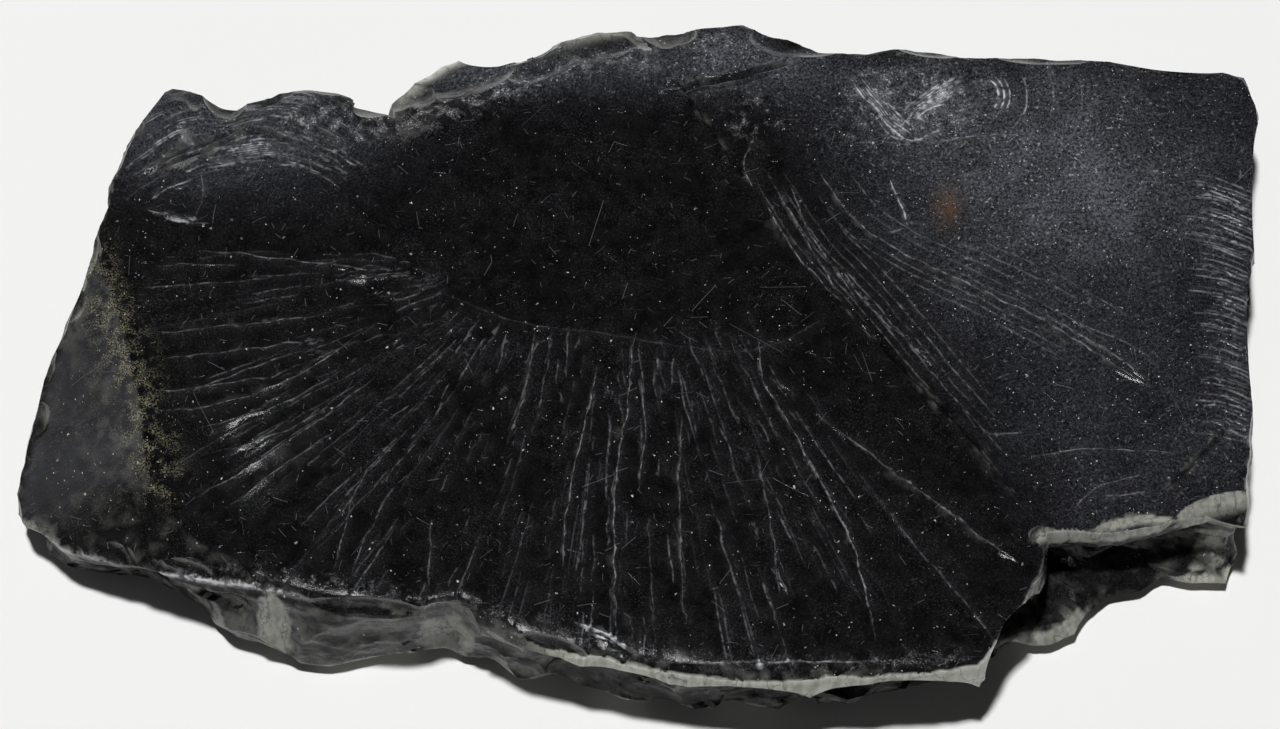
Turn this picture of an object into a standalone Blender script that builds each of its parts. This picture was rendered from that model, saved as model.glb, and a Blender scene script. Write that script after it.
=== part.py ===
"""Shungite hand specimen: a black glassy slab of rock with a broken, chipped rim.

The stone is one solid. It lies on a flat patch of its underside at z = 0, with its longest
side along X and the broad fracture face on top. Lengths in the lists below are millimetres.
"""
import math

import bmesh
import bpy
import numpy as np
from mathutils import Matrix, Vector
from mathutils import noise
from mathutils.geometry import delaunay_2d_cdt

MM = 0.001
NAME = "shungite"

# Driving dimensions, millimetres
SLAB_HEIGHT = 9.8          # level of the broad face over the ground
FACE_SPACING = 1.75        # distance between points of the broad face
RIM_SPACING = 1.9          # distance between points along the rim
SHOULDER_DROP = 1.1        # height of the narrow band under the rim
SHOULDER_OUT = 0.35        # how far that band leans outward
SOLE_INSET = 2.4           # how far the edge of the underside stays inside the foot
PATCH_INSET = 6.5          # how far the flat resting patch stays inside the foot
HEART = (8.0, 4.0)         # point inside the stone from which both outlines are seen whole

# Rim of the broad face, anticlockwise from the right end
RIM = (
    (43.2, -13.2), (43.6, -11.4), (43.8, -9.0), (44.2, -4.5), (44.4, 1.5), (44.8, 6.5), (45.5, 10.0),
    (45.9, 15.0), (45.8, 19.6), (45.0, 21.9), (42.0, 22.6), (37.3, 22.9), (30.5, 23.2),
    (24.0, 23.4), (20.0, 24.1), (17.2, 23.7), (13.4, 23.7), (10.8, 24.5), (7.9, 25.9),
    (4.5, 25.6), (1.7, 25.2), (-0.9, 26.0), (-3.0, 25.9), (-5.3, 25.2), (-7.3, 24.3),
    (-8.8, 23.9), (-11.1, 24.4), (-12.6, 24.2), (-14.3, 23.5), (-16.3, 22.1), (-18.0, 20.1),
    (-17.9, 18.6), (-20.5, 19.4), (-22.2, 20.0), (-24.2, 20.2), (-26.2, 20.0), (-27.9, 19.5),
    (-29.4, 19.3), (-33.6, 20.6), (-34.4, 20.7), (-35.3, 20.2), (-36.0, 19.1), (-37.1, 17.5),
    (-37.8, 15.4), (-38.4, 13.3), (-39.0, 10.2), (-40.2, 6.2), (-41.2, 3.3), (-43.2, -1.4),
    (-44.4, -7.0), (-44.9, -10.0), (-44.8, -11.4), (-43.9, -12.6), (-41.6, -14.1),
    (-38.6, -15.3), (-35.0, -16.4), (-31.2, -17.3), (-27.6, -18.2), (-24.9, -18.9),
    (-22.0, -19.5), (-17.0, -20.2),
    (-14.5, -19.8), (-12.8, -19.4), (-11.3, -20.0), (-9.9, -20.9), (-8.5, -21.9),
    (-6.0, -22.9), (-2.8, -23.6), (0.0, -24.3), (4.2, -25.0), (8.5, -25.3),
    (14.1, -25.1), (20.5, -24.8), (24.0, -24.3), (25.6, -22.3), (27.4, -19.6),
    (28.7, -16.8), (29.0, -14.3), (34.3, -14.0), (37.6, -13.3), (40.5, -12.6),
)

# Foot of the stone, anticlockwise: lower lobes and ledges stand out beyond the rim
FOOT = (
    (44.3, -10.4), (44.5, -5.0), (44.7, 1.0), (45.1, 8.0), (45.5, 14.0), (45.2, 19.0),
    (43.6, 22.0), (37.5, 23.6), (30.0, 23.4), (24.0, 23.9), (17.0, 24.3), (10.0, 25.3),
    (5.0, 25.7), (0.0, 25.7), (-5.0, 25.2), (-9.0, 24.0), (-12.5, 23.3), (-16.0, 21.2),
    (-19.6, 19.6), (-25.0, 20.4), (-30.5, 19.6), (-34.8, 19.6), (-37.0, 16.5),
    (-38.2, 12.0), (-39.4, 8.0), (-41.0, 2.0), (-42.6, -4.0), (-43.4, -8.5),
    (-43.8, -10.8), (-42.3, -12.4), (-40.2, -13.4), (-38.2, -14.2), (-35.6, -14.9),
    (-33.4, -15.7), (-32.0, -16.8), (-30.6, -18.0), (-28.8, -19.6), (-26.5, -20.3),
    (-22.1, -21.5), (-17.5, -20.9), (-14.0, -20.5), (-10.5, -21.3), (-8.3, -22.5),
    (-5.8, -22.4), (-3.4, -23.3), (-0.9, -24.3), (1.3, -23.7), (4.0, -23.7),
    (7.9, -25.0), (10.1, -25.3), (13.5, -24.3), (18.0, -23.6), (23.0, -23.0),
    (25.4, -21.2), (27.4, -20.1), (29.7, -20.0), (31.3, -19.1), (32.8, -17.7),
    (34.4, -16.6), (36.6, -16.1), (38.2, -14.9), (40.0, -15.4), (42.7, -15.4),
    (44.0, -13.2),
)

# Hollows under the rim: (x, y, reach, depth)
HOLLOWS = (
    (34.0, -14.5, 8.0, 2.4), (22.0, -24.6, 7.0, 1.6), (9.0, -25.0, 5.0, 0.9),
    (-42.5, -3.0, 12.0, 1.1), (-2.0, -24.0, 4.0, 0.7), (40.0, 23.0, 8.0, 1.0),
    (14.0, 24.0, 5.0, 0.7), (45.5, 4.0, 9.0, 0.5), (-24.0, 21.0, 6.0, 0.6),
)

# Where the wall steps out to the foot: (x, y, reach, lateness). Early steps make a ledge close
# under the rim, late ones a shelf close to the ground.
STEPS_OUT = (
    (34.0, -15.5, 9.0, 5.0), (43.5, -14.0, 4.0, -0.6), (-6.0, 24.0, 10.0, -0.75),
    (8.0, -25.0, 8.0, 1.6),
)

# Bands of taller shoulder under the rim: (x, y, reach, extra height)
BANDS = (
    (2.0, -24.5, 7.0, 0.8), (15.0, -25.0, 8.0, 1.2), (24.0, -24.0, 5.0, 1.1), (31.0, -14.2, 6.0, 1.6),
)

# Broad swells and dishes of the top face: (x, y, reach in x, reach in y, height)
SWELLS = (
    (-3.0, 11.5, 11.0, 8.0, -0.9), (-25.0, -5.0, 9.0, 8.0, 0.5), (-29.0, 5.5, 9.0, 3.5, -0.3),
    (6.0, -8.0, 9.0, 7.0, 0.35), (36.0, 12.0, 9.0, 10.0, 0.3), (27.0, 3.5, 9.0, 5.0, 0.35),
    (24.0, 15.0, 7.0, 6.0, -0.4), (36.0, -9.0, 7.0, 5.0, -0.35), (-34.5, 13.5, 5.0, 3.5, -0.6),
    (-14.0, -14.0, 6.0, 6.0, -0.25), (20.0, -19.0, 7.0, 5.0, -0.3), (-34.0, 18.0, 2.8, 2.6, 1.2),
    (-24.8, 18.2, 4.4, 2.4, 1.3), (-20.5, 15.6, 3.0, 2.4, -0.6), (6.5, 23.6, 4.5, 2.2, 0.5),
    (-30.1, 17.6, 1.5, 2.4, -0.8), (-18.4, 18.2, 2.0, 1.8, -0.5), (-29.5, 14.4, 5.0, 1.3, -0.5),
    (44.0, 20.0, 4.0, 4.0, -0.5),
)

# Break lines of the top face: (height, width of the steep flank, reach of the long flank, points).
# The long flank lies to the left of the line as it is followed.
CRESTS = (
    # edges of the two great shells, from the back of the stone to its front right
    (0.55, 0.5, 2.6, ((8.8, 17.1), (7.9, 14.4), (9.5, 10.7), (11.8, 6.6), (14.9, 3.0))),
    (0.30, 0.4, 1.6, ((10.0, 12.9), (12.2, 8.4), (14.8, 3.4))),
    (0.34, 0.4, 1.8, ((11.2, 13.1), (12.8, 8.4), (16.2, 3.1))),
    (0.40, 0.4, 2.0, ((14.5, 6.4), (17.0, 2.7), (22.1, -2.1))),
    (0.75, 0.6, 3.2, ((12.9, 15.2), (14.9, 11.3), (18.2, 8.0), (24.9, 4.2), (30.2, 1.3), (37.3, -3.3))),
    (0.28, 0.4, 1.5, ((29.5, 2.1), (33.8, -0.3), (37.0, -2.8))),
    (0.45, 0.5, 2.2, ((24.1, 21.4), (21.1, 19.3), (19.2, 17.2))),
    (0.60, 0.5, 2.4, ((15.3, 21.9), (17.1, 19.9), (19.9, 16.1), (22.4, 17.5))),
    (0.40, 0.4, 1.6, ((18.6, 13.4), (19.1, 11.8), (19.9, 9.4))),
    # hackles that run down the middle of the face to the front rim
    (0.30, 0.3, 1.5, ((-7.4, 0.7), (-8.0, -3.6), (-9.3, -8.0))),
    (0.28, 0.3, 1.4, ((-4.9, 1.4), (-5.1, -3.0))),
    (0.55, 0.4, 2.4, ((-2.8, -1.8), (-3.7, -6.2), (-4.9, -12.0), (-5.3, -17.5))),
    (0.65, 0.4, 2.8, ((-0.1, 0.9), (-0.7, -4.8), (-1.6, -12.0), (-1.5, -22.6))),
    (0.30, 0.3, 1.4, ((0.2, -2.5), (0.6, -6.4), (0.0, -12.0))),
    (0.40, 0.3, 1.8, ((3.2, -5.7), (3.0, -12.0), (3.3, -20.8))),
    (0.65, 0.4, 2.8, ((8.6, 0.9), (9.2, -3.5), (11.4, -7.6), (15.2, -15.6), (16.9, -22.6))),
    (0.34, 0.3, 1.6, ((8.5, -8.4), (9.7, -15.4), (10.1, -19.2))),
    (0.45, 0.4, 2.0, ((13.5, -6.3), (19.8, -11.3), (27.2, -17.0))),
    # hackles that fan over the left lobe
    (0.45, 0.4, 2.0, ((-19.6, 0.9), (-24.6, -2.8), (-30.3, -4.9), (-34.6, -5.2))),
    (0.28, 0.3, 1.4, ((-21.0, -2.1), (-25.3, -4.8), (-31.7, -6.7))),
    (0.55, 0.4, 2.4, ((-18.8, -2.8), (-22.3, -5.9), (-26.6, -9.0), (-31.6, -11.9))),
    (0.30, 0.3, 1.4, ((-21.2, -6.7), (-26.5, -10.6), (-29.4, -12.8))),
    (0.30, 0.3, 1.5, ((-22.5, 2.3), (-26.9, 1.6), (-35.6, 0.8))),
    (0.26, 0.3, 1.3, ((-22.5, 0.3), (-27.6, -0.5), (-34.1, -1.1))),
    (0.30, 0.3, 1.5, ((-18.6, 5.6), (-24.9, 6.6), (-29.6, 7.3))),
    (0.36, 0.3, 1.7, ((-16.9, -7.1), (-19.7, -10.9), (-21.5, -17.6))),
    (0.28, 0.3, 1.3, ((-17.2, -10.9), (-19.3, -15.1), (-20.3, -18.0))),
    (0.26, 0.3, 1.3, ((-14.6, -13.4), (-14.7, -18.6))),
    # the line where the glassy dish of the main shell stops
    (0.30, 1.2, 3.0, ((15.6, 3.2), (8.0, -0.7), (-2.9, 0.8), (-8.7, 1.7), (-14.8, 4.2))),
    # short breaks in the lower right corner
    (0.35, 0.3, 1.5, ((38.9, -8.0), (32.9, -7.8), (27.9, -8.6))),
    (0.32, 0.3, 1.4, ((36.6, -9.7), (33.1, -10.7), (31.0, -12.4))),
    # the crack in front of the lump on the back rim
    (0.80, 0.4, 2.6, ((1.2, 20.0), (4.5, 20.7), (7.4, 21.2), (10.4, 22.2), (12.6, 23.2))),
    # lumps at the upper left
    (0.70, 0.5, 2.2, ((-38.0, 13.6), (-32.5, 15.7), (-28.8, 17.2), (-25.0, 15.9), (-22.0, 14.6))),
    (0.45, 0.4, 1.6, ((-31.0, 15.0), (-28.0, 15.2), (-25.4, 14.4))),
    (0.40, 0.4, 1.4, ((-32.2, 10.2), (-31.8, 12.0), (-32.1, 14.4))),
    (0.50, 0.5, 1.8, ((-36.2, 11.2), (-33.6, 9.9), (-31.2, 9.5))),
)

# Folds of the top face: (slope, reach, points); the face drops away to the left of the line
FOLDS = (
    # the duller facet along the left end
    (0.52, 30.0, ((-26.0, -30.0), (-27.4, -17.9), (-31.4, -14.8), (-34.6, -10.5), (-35.6, -4.8),
                  (-36.9, 0.7), (-38.6, 5.6), (-39.7, 9.4), (-40.6, 14.0), (-46.0, 30.0))),
    # the lumpy ground behind the main shell at the upper left
    (0.16, 6.0, ((-46.0, 7.0), (-39.9, 8.8), (-34.8, 9.0), (-30.1, 10.6), (-25.8, 12.6),
                 (-22.9, 15.0), (-19.2, 16.2), (-15.0, 19.0))),
    # the worn bevel along the back rim
    (0.50, 20.0, ((-22.0, 30.0), (-19.0, 16.6), (-14.4, 17.4), (-13.6, 18.3), (-11.9, 19.1),
                  (-8.9, 19.7), (-7.1, 20.7), (-4.5, 21.4), (-1.5, 21.4), (1.5, 20.9), (4.0, 30.0))),
    # the right shell, lower than the main one along its front
    (0.55, 1.8, ((12.0, 7.0), (14.9, 2.6), (18.8, -2.0), (22.3, -6.9), (24.1, -9.6), (27.2, -12.6),
                 (29.2, -14.9), (32.0, -19.0))),
)

# Chips broken out of the stone: (x, y, z, way it faces, tilt up, half length, half width, depth)
CHIPS = (
    (-16.2, 20.6, 8.3, 122.0, 60.0, 2.8, 1.5, 0.5), (-12.0, 21.8, 8.1, 112.0, 62.0, 3.2, 1.7, 0.5),
    (-6.6, 22.6, 8.6, 116.0, 60.0, 2.6, 1.4, 0.5), (-2.6, 24.0, 8.5, 102.0, 60.0, 3.2, 1.5, 0.5),
    (2.0, 25.0, 8.6, 78.0, 50.0, 1.8, 1.2, 0.5), (13.0, 23.9, 9.0, 92.0, 44.0, 3.6, 2.0, 0.8),
    (22.0, 23.8, 9.0, 84.0, 40.0, 3.4, 2.0, 0.7), (-30.2, 19.2, 8.8, 100.0, 40.0, 1.5, 2.2, 0.9),
    (-18.2, 19.0, 8.0, 116.0, 40.0, 1.0, 1.6, 0.5), (-36.4, 19.0, 7.2, 145.0, 20.0, 2.4, 2.0, 0.5),
    (-40.2, 7.4, 5.6, 165.0, 4.0, 4.0, 2.2, 0.5), (-43.8, -2.5, 3.4, 166.0, 2.0, 6.0, 2.4, 0.6),
    (-40.6, -14.4, 3.6, 236.0, 10.0, 3.0, 1.4, 0.4), (-31.8, -18.6, 5.4, 252.0, 12.0, 4.2, 4.6, 0.8),
    (-25.9, -20.4, 5.6, 272.0, 12.0, 1.9, 4.4, 0.6), (-23.7, -20.8, 5.4, 262.0, 8.0, 0.8, 3.6, 1.0),
    (-19.4, -20.2, 8.9, 270.0, 48.0, 5.2, 1.3, 0.8), (-19.0, -21.4, 4.6, 274.0, 6.0, 4.0, 2.4, 0.5),
    (-13.4, -20.6, 5.6, 258.0, 14.0, 1.8, 3.4, 0.6), (-10.4, -20.8, 7.8, 242.0, 20.0, 1.2, 2.4, 0.8),
    (-5.6, -23.1, 8.6, 250.0, 40.0, 2.6, 1.4, 0.5), (-8.0, -22.2, 4.4, 256.0, 10.0, 2.2, 2.0, 0.5),
    (-1.0, -24.0, 5.2, 262.0, 0.0, 4.0, 2.4, 0.8), (7.2, -25.2, 5.4, 272.0, -6.0, 4.8, 2.4, 0.8),
    (18.6, -25.0, 5.0, 276.0, -8.0, 6.2, 3.2, 1.3), (26.4, -21.4, 6.2, 322.0, 6.0, 3.4, 3.2, 0.9),
    (8.4, -25.3, 9.2, 268.0, 44.0, 7.0, 0.9, 0.35), (20.0, -25.0, 9.2, 272.0, 46.0, 6.0, 1.0, 0.4),
    (36.0, -13.4, 8.8, 276.0, 44.0, 2.8, 1.2, 0.5), (41.6, -11.8, 8.8, 284.0, 52.0, 3.4, 2.2, 0.9),
    (42.2, -14.6, 5.0, 286.0, 30.0, 2.6, 2.0, 0.6),
    (44.5, -2.0, 5.6, 2.0, 4.0, 6.0, 3.4, 0.8), (45.2, 11.0, 6.0, 358.0, 10.0, 5.6, 3.2, 0.8),
    (38.6, 23.0, 6.0, 84.0, 12.0, 6.0, 3.2, 0.9), (30.0, 23.2, 8.8, 88.0, 46.0, 4.0, 1.4, 0.5),
    (-26.0, 20.6, 5.4, 96.0, 10.0, 5.0, 3.2, 0.8), (6.0, 26.2, 5.2, 90.0, 6.0, 5.6, 3.0, 0.9),
    (16.4, 24.0, 5.0, 88.0, 8.0, 4.6, 2.8, 0.8), (-8.6, 24.0, 4.6, 110.0, 20.0, 4.4, 2.2, 0.7),
    (33.0, -17.4, 3.0, 300.0, 62.0, 4.6, 2.6, 0.6), (40.2, -15.4, 3.4, 292.0, 56.0, 2.6, 1.6, 0.5),
)


def clear_scene():
    """Start from an empty file."""
    for item in list(bpy.data.objects):
        bpy.data.objects.remove(item, do_unlink=True)


def new_collection(name):
    """Add a collection under the scene and return it."""
    group = bpy.data.collections.new(name)
    bpy.context.scene.collection.children.link(group)
    return group


def polar(points):
    """Angle and distance of plan points as seen from the heart of the stone."""
    offset = np.asarray(points, float) - HEART
    return np.arctan2(offset[:, 1], offset[:, 0]), np.hypot(offset[:, 0], offset[:, 1])


def outline_reach(outline, angles):
    """Distance from the heart to a closed outline along each angle, straight between its points."""
    turn, _ = polar(outline)
    start = int(np.argmin(turn))
    ring = np.roll(np.asarray(outline, float) - HEART, -start, axis=0)
    ring = np.vstack((ring[-1], ring, ring[0]))
    turn = np.unwrap(np.arctan2(ring[:, 1], ring[:, 0]))
    angles = turn[1] + (angles - turn[1]) % (2 * math.pi)
    slot = np.clip(np.searchsorted(turn, angles) - 1, 0, len(ring) - 2)
    first = ring[slot]
    side = ring[slot + 1] - first
    ray = np.column_stack((np.cos(angles), np.sin(angles)))
    cross_side = ray[:, 0] * side[:, 1] - ray[:, 1] * side[:, 0]
    return (first[:, 0] * side[:, 1] - first[:, 1] * side[:, 0]) / cross_side


def resample(outline, spacing):
    """Fill a closed outline with extra points no further apart than the spacing."""
    points = []
    for first, second in zip(outline, outline[1:] + outline[:1]):
        first = np.array(first)
        side = np.array(second) - first
        count = max(1, math.ceil(np.hypot(*side) / spacing))
        points += [first + side * step / count for step in range(count)]
    return np.array(points)


def smooth_line(points, spacing):
    """Bend a line through its points (Catmull-Rom) and divide it at the spacing."""
    control = np.asarray(points, float)
    control = np.vstack((2 * control[0] - control[1], control, 2 * control[-1] - control[-2]))
    line = [control[1]]
    for before, start, end, after in zip(control, control[1:], control[2:], control[3:]):
        count = max(1, round(np.hypot(*(end - start)) / spacing))
        for t in np.arange(1, count + 1) / count:
            curve = 2 * start + (end - before) * t
            curve = curve + (2 * before - 5 * start + 4 * end - after) * t * t
            curve = curve + (3 * start - before - 3 * end + after) * t ** 3
            line.append(curve / 2)
    return np.array(line)


def side_of_line(places, line):
    """Signed distance of places from a line (left is positive) and how far along it they lie."""
    best = np.full(len(places), 1e9)
    signed = np.zeros(len(places))
    along = np.zeros(len(places))
    lengths = np.hypot(*np.diff(line, axis=0).T)
    starts = np.concatenate(((0.0,), np.cumsum(lengths)))
    for index, length in enumerate(lengths):
        side = (line[index + 1] - line[index]) / length
        offset = places - line[index]
        run = np.clip(offset @ side, 0.0, length)
        gap = np.hypot(*(offset - run[:, None] * side).T)
        nearer = gap < best - 1e-9
        left = side[0] * offset[:, 1] - side[1] * offset[:, 0]
        best = np.where(nearer, gap, best)
        signed = np.where(nearer, np.where(left < 0, -gap, gap), signed)
        along = np.where(nearer, (starts[index] + run) / starts[-1], along)
    return signed, along


def crest_height(places, crest):
    """Saw-tooth ridge: a steep flank on the right of its line and a long one on the left."""
    height, steep, reach, points = crest
    signed, along = side_of_line(places, smooth_line(points, 1.5))
    taper = np.minimum(1.0, 3.2 * np.minimum(along, 1.0 - along)) ** 0.8
    left = np.exp(-np.abs(signed) / reach)
    right = np.clip(1.0 + signed / steep, 0.0, 1.0)
    return height * taper * np.where(signed >= 0, left, right)


def fold_drop(places, fold):
    """Drop of the face beyond a fold line, growing with distance until its reach."""
    slope, reach, points = fold
    signed, _ = side_of_line(places, smooth_line(points, 1.5))
    return slope * reach * (1.0 - np.exp(-np.clip(signed, 0.0, None) / reach))


def face_height(places):
    """Height of the broad top face over plan places, in millimetres."""
    x, y = places[:, 0], places[:, 1]
    height = SLAB_HEIGHT - 0.03 * np.clip(-18.0 - x, 0.0, None)
    height = height - 0.004 * np.clip(-12.0 - y, 0.0, None) ** 2
    for centre_x, centre_y, reach_x, reach_y, swell in SWELLS:
        away = ((x - centre_x) / reach_x) ** 2 + ((y - centre_y) / reach_y) ** 2
        height = height + swell * np.exp(-away)
    for fold in FOLDS:
        height = height - fold_drop(places, fold)
    for crest in CRESTS:
        height = height + crest_height(places, crest)
    return height


def grain(x, y, z, scale):
    """Uneven ground of broken rock, between -1 and 1."""
    return noise.fractal(Vector((x / scale, y / scale, z / scale)), 0.9, 2.1, 4)


def face_fill(rim, lines):
    """Staggered points over the face, kept clear of the rim and of the break lines."""
    step = FACE_SPACING
    rows = np.arange(-27.0, 28.0, step * 0.866)
    columns = np.arange(-47.0, 48.0, step)
    grid = [(x + step / 2 * (row % 2), y) for row, y in enumerate(rows) for x in columns]
    places = np.array(grid)
    places = places + 0.22 * step * np.sin(places[:, ::-1] * (12.9, 7.3))
    angles, reach = polar(places)
    places = places[reach < outline_reach(rim, angles) - 0.5 * step]
    for line in lines:
        signed, _ = side_of_line(places, line)
        places = places[np.abs(signed) > 0.42 * step]
    return places


def break_lines():
    """Plan lines that the triangles of the face follow: crests, their feet, and folds."""
    lines = []
    for height, steep, reach, points in CRESTS:
        crest = smooth_line(points, 1.6)
        along = np.gradient(crest, axis=0)
        along = along / np.hypot(*along.T)[:, None]
        foot = crest + steep * np.column_stack((along[:, 1], -along[:, 0]))
        lines += [crest, foot[1:-1]]
    for slope, reach, points in FOLDS:
        lines.append(smooth_line(points, 2.0))
    return lines


def inside_rim(line, rim, margin):
    """Longest run of a line that stays inside the rim by a margin."""
    angles, reach = polar(line)
    keep = reach < outline_reach(rim, angles) - margin
    return line[keep]


def add_face(mesh):
    """Triangulate the broad face along its break lines and lift it to height."""
    rim = resample(RIM, RIM_SPACING)
    rim = HEART + (rim - HEART) * (1.0 + 0.004 * np.sin(5.3 * rim[:, :1] + 3.1 * rim[:, 1:]))
    lines = [inside_rim(line, rim, 0.5) for line in break_lines()]
    lines = [line for line in lines if len(line) > 1]
    places = [Vector(place) for place in rim]
    edges = []
    for line in lines:
        first = len(places)
        places += [Vector(place) for place in line]
        edges += [(index, index + 1) for index in range(first, len(places) - 1)]
    places += [Vector(place) for place in face_fill(rim, lines)]
    boundary = [list(range(len(rim)))]
    flat, _, faces, *_ = delaunay_2d_cdt(places, edges, boundary, 1, 0.02)
    heights = face_height(np.array([tuple(place) for place in flat]))
    verts = [mesh.verts.new((place.x, place.y, height)) for place, height in zip(flat, heights)]
    for face in faces:
        mesh.faces.new([verts[index] for index in face])
    loose = [vert for vert in verts if not vert.link_faces]
    bmesh.ops.delete(mesh, geom=loose, context="VERTS")


def rim_loop(mesh):
    """Vertices of the open rim in anticlockwise order."""
    edges = [edge for edge in mesh.edges if edge.is_boundary]
    verts = list({vert for edge in edges for vert in edge.verts})
    angles, _ = polar([vert.co[:2] for vert in verts])
    return [verts[index] for index in np.argsort(angles)], np.sort(angles)


def blobs(x, y, spots):
    """Sum of round swells, each given as (x, y, reach, amount)."""
    total = np.zeros(len(x))
    for centre_x, centre_y, reach, amount in spots:
        total = total + amount * np.exp(-((x - centre_x) ** 2 + (y - centre_y) ** 2) / reach ** 2)
    return total


def wall_levels(rim, angles):
    """Rings of the side wall from under the rim down to the flat patch of the underside."""
    x, y, lift = rim.T
    _, top = polar(rim[:, :2])
    foot = outline_reach(FOOT, angles)
    hollow = blobs(x, y, HOLLOWS)
    late = 1.0 + blobs(x, y, STEPS_OUT)
    drop = SHOULDER_DROP + blobs(x, y, BANDS)

    def reach(level, sink):
        out = np.clip((1.0 - level) / 0.82, 0.0, 1.0) ** late
        return top + (foot - top) * out - sink * hollow

    shoulder = np.maximum(lift - drop, 0.62 * lift)
    return (
        (reach(0.86, -0.1) + SHOULDER_OUT, shoulder, 0.15),
        (reach(0.66, 0.9), 0.92 * shoulder - 0.05 * lift, 0.45),
        (reach(0.48, 1.0), 0.46 * lift, 0.6),
        (reach(0.33, 0.8), 0.32 * lift, 0.6),
        (reach(0.25, 0.1), 0.24 * lift, 0.4),
        (reach(0.17, 0.0), 0.15 * lift, 0.3),
        (foot - 0.5, 0.09 * lift, 0.3),
        (foot - SOLE_INSET, 0.045 * lift, 0.5),
        (foot - PATCH_INSET, 0.0 * lift, 0.8),
    )


def add_wall(mesh):
    """Hang the side wall from the rim and close the underside with a flat patch."""
    loop, angles = rim_loop(mesh)
    rim = np.array([vert.co[:] for vert in loop])
    rays = np.column_stack((np.cos(angles), np.sin(angles)))
    for reach, heights, rough in wall_levels(rim, angles):
        plan = rays * reach[:, None] + HEART
        lower = []
        for place, height, ray in zip(plan, heights, rays):
            bump = rough * grain(place[0], place[1], 1.5 * height, 6.0)
            spot = (place[0] + bump * ray[0], place[1] + bump * ray[1], height)
            lower.append(mesh.verts.new(spot))
        count = len(loop)
        for index in range(count):
            after = (index + 1) % count
            mesh.faces.new((loop[index], lower[index], lower[after], loop[after]))
        loop = lower
    patch = mesh.faces.new(loop)
    bmesh.ops.triangulate(mesh, faces=[patch])


def make_stone(group):
    """Build the whole slab before its chips are broken out."""
    mesh = bmesh.new()
    add_face(mesh)
    add_wall(mesh)
    bmesh.ops.triangulate(mesh, faces=mesh.faces[:])
    bmesh.ops.scale(mesh, vec=(MM, MM, MM), verts=mesh.verts[:])
    bmesh.ops.recalc_face_normals(mesh, faces=mesh.faces[:])
    data = bpy.data.meshes.new(NAME)
    mesh.to_mesh(data)
    mesh.free()
    stone = bpy.data.objects.new(NAME, data)
    group.objects.link(stone)
    return stone


def make_chip(number, chip, group):
    """One chip as a squashed ball whose near side leaves a shell-shaped scar."""
    x, y, z, facing, tilt, half_length, half_width, depth = chip
    mesh = bmesh.new()
    bmesh.ops.create_icosphere(mesh, subdivisions=2, radius=1.0)
    size = Matrix.Diagonal((1.34 * half_length, 1.34 * half_width, 3.0 * depth, 1.0))
    turn = Matrix.Rotation(math.radians(facing + 90.0), 4, "Z")
    lean = Matrix.Rotation(math.radians(90.0 - tilt), 4, "X")
    out = Matrix.Translation((0.0, 0.0, 2.0 * depth))
    place = Matrix.Translation((x, y, z))
    bmesh.ops.transform(mesh, matrix=Matrix.Scale(MM, 4) @ place @ turn @ lean @ out @ size,
                        verts=mesh.verts[:])
    data = bpy.data.meshes.new("chip_%02d" % number)
    mesh.to_mesh(data)
    mesh.free()
    cutter = bpy.data.objects.new(data.name, data)
    cutter.display_type = "WIRE"
    cutter.hide_render = True
    group.objects.link(cutter)
    return cutter


def break_out(stone, cutters):
    """Cut every chip out of the stone."""
    for cutter in cutters:
        cut = stone.modifiers.new(cutter.name, "BOOLEAN")
        cut.operation = "DIFFERENCE"
        cut.solver = "EXACT"
        cut.object = cutter
    graph = bpy.context.evaluated_depsgraph_get()
    data = bpy.data.meshes.new_from_object(stone.evaluated_get(graph))
    stone.modifiers.clear()
    stone.data = data
    data.name = NAME


def settle(stone):
    """Tidy the mesh, centre it over the origin and rest it on z = 0."""
    mesh = bmesh.new()
    mesh.from_mesh(stone.data)
    bmesh.ops.remove_doubles(mesh, verts=mesh.verts[:], dist=0.00006)
    bmesh.ops.dissolve_degenerate(mesh, dist=0.00003, edges=mesh.edges[:])
    bmesh.ops.triangulate(mesh, faces=mesh.faces[:])
    bmesh.ops.recalc_face_normals(mesh, faces=mesh.faces[:])
    spots = np.array([vert.co[:] for vert in mesh.verts])
    low, high = spots.min(axis=0), spots.max(axis=0)
    shift = Vector((-(low[0] + high[0]) / 2, -(low[1] + high[1]) / 2, -low[2]))
    bmesh.ops.translate(mesh, vec=shift, verts=mesh.verts[:])
    mesh.to_mesh(stone.data)
    mesh.free()


def stone_material():
    """Black glassy carbon rock."""
    material = bpy.data.materials.new("shungite_black")
    material.use_nodes = True
    surface = material.node_tree.nodes["Principled BSDF"]
    surface.inputs["Base Color"].default_value = (0.012, 0.012, 0.013, 1.0)
    surface.inputs["Roughness"].default_value = 0.25
    surface.inputs["Metallic"].default_value = 0.0
    surface.inputs["IOR"].default_value = 1.8
    return material


clear_scene()
stone_group = new_collection(NAME)
cutter_group = new_collection(NAME + "_cutters")
stone = make_stone(stone_group)
chips = [make_chip(number, chip, cutter_group) for number, chip in enumerate(CHIPS, 1)]
break_out(stone, chips)
settle(stone)
stone.data.materials.clear()
stone.data.materials.append(stone_material())
print(NAME, len(stone.data.polygons), "triangles,", [round(1000 * side, 2) for side in stone.dimensions])
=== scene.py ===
# %% [markdown]
# # A hand specimen of black shungite
#
# Shungite is a rock of almost pure carbon. A fresh piece breaks like glass: it leaves shell-shaped
# dishes, fine steps called hackles that fan out from where the break began, and knife-thin chips
# along the rim. This lesson builds one flat slab of it, and the numbers below are millimetres
# unless a name says otherwise. First the imported solid is loaded, because it gives the stone's place
# and size.

import math
import random

import bmesh
import bpy
import numpy as np
from mathutils import Matrix, Vector, noise
from mathutils.geometry import delaunay_2d_cdt
from mathutils.kdtree import KDTree


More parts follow.
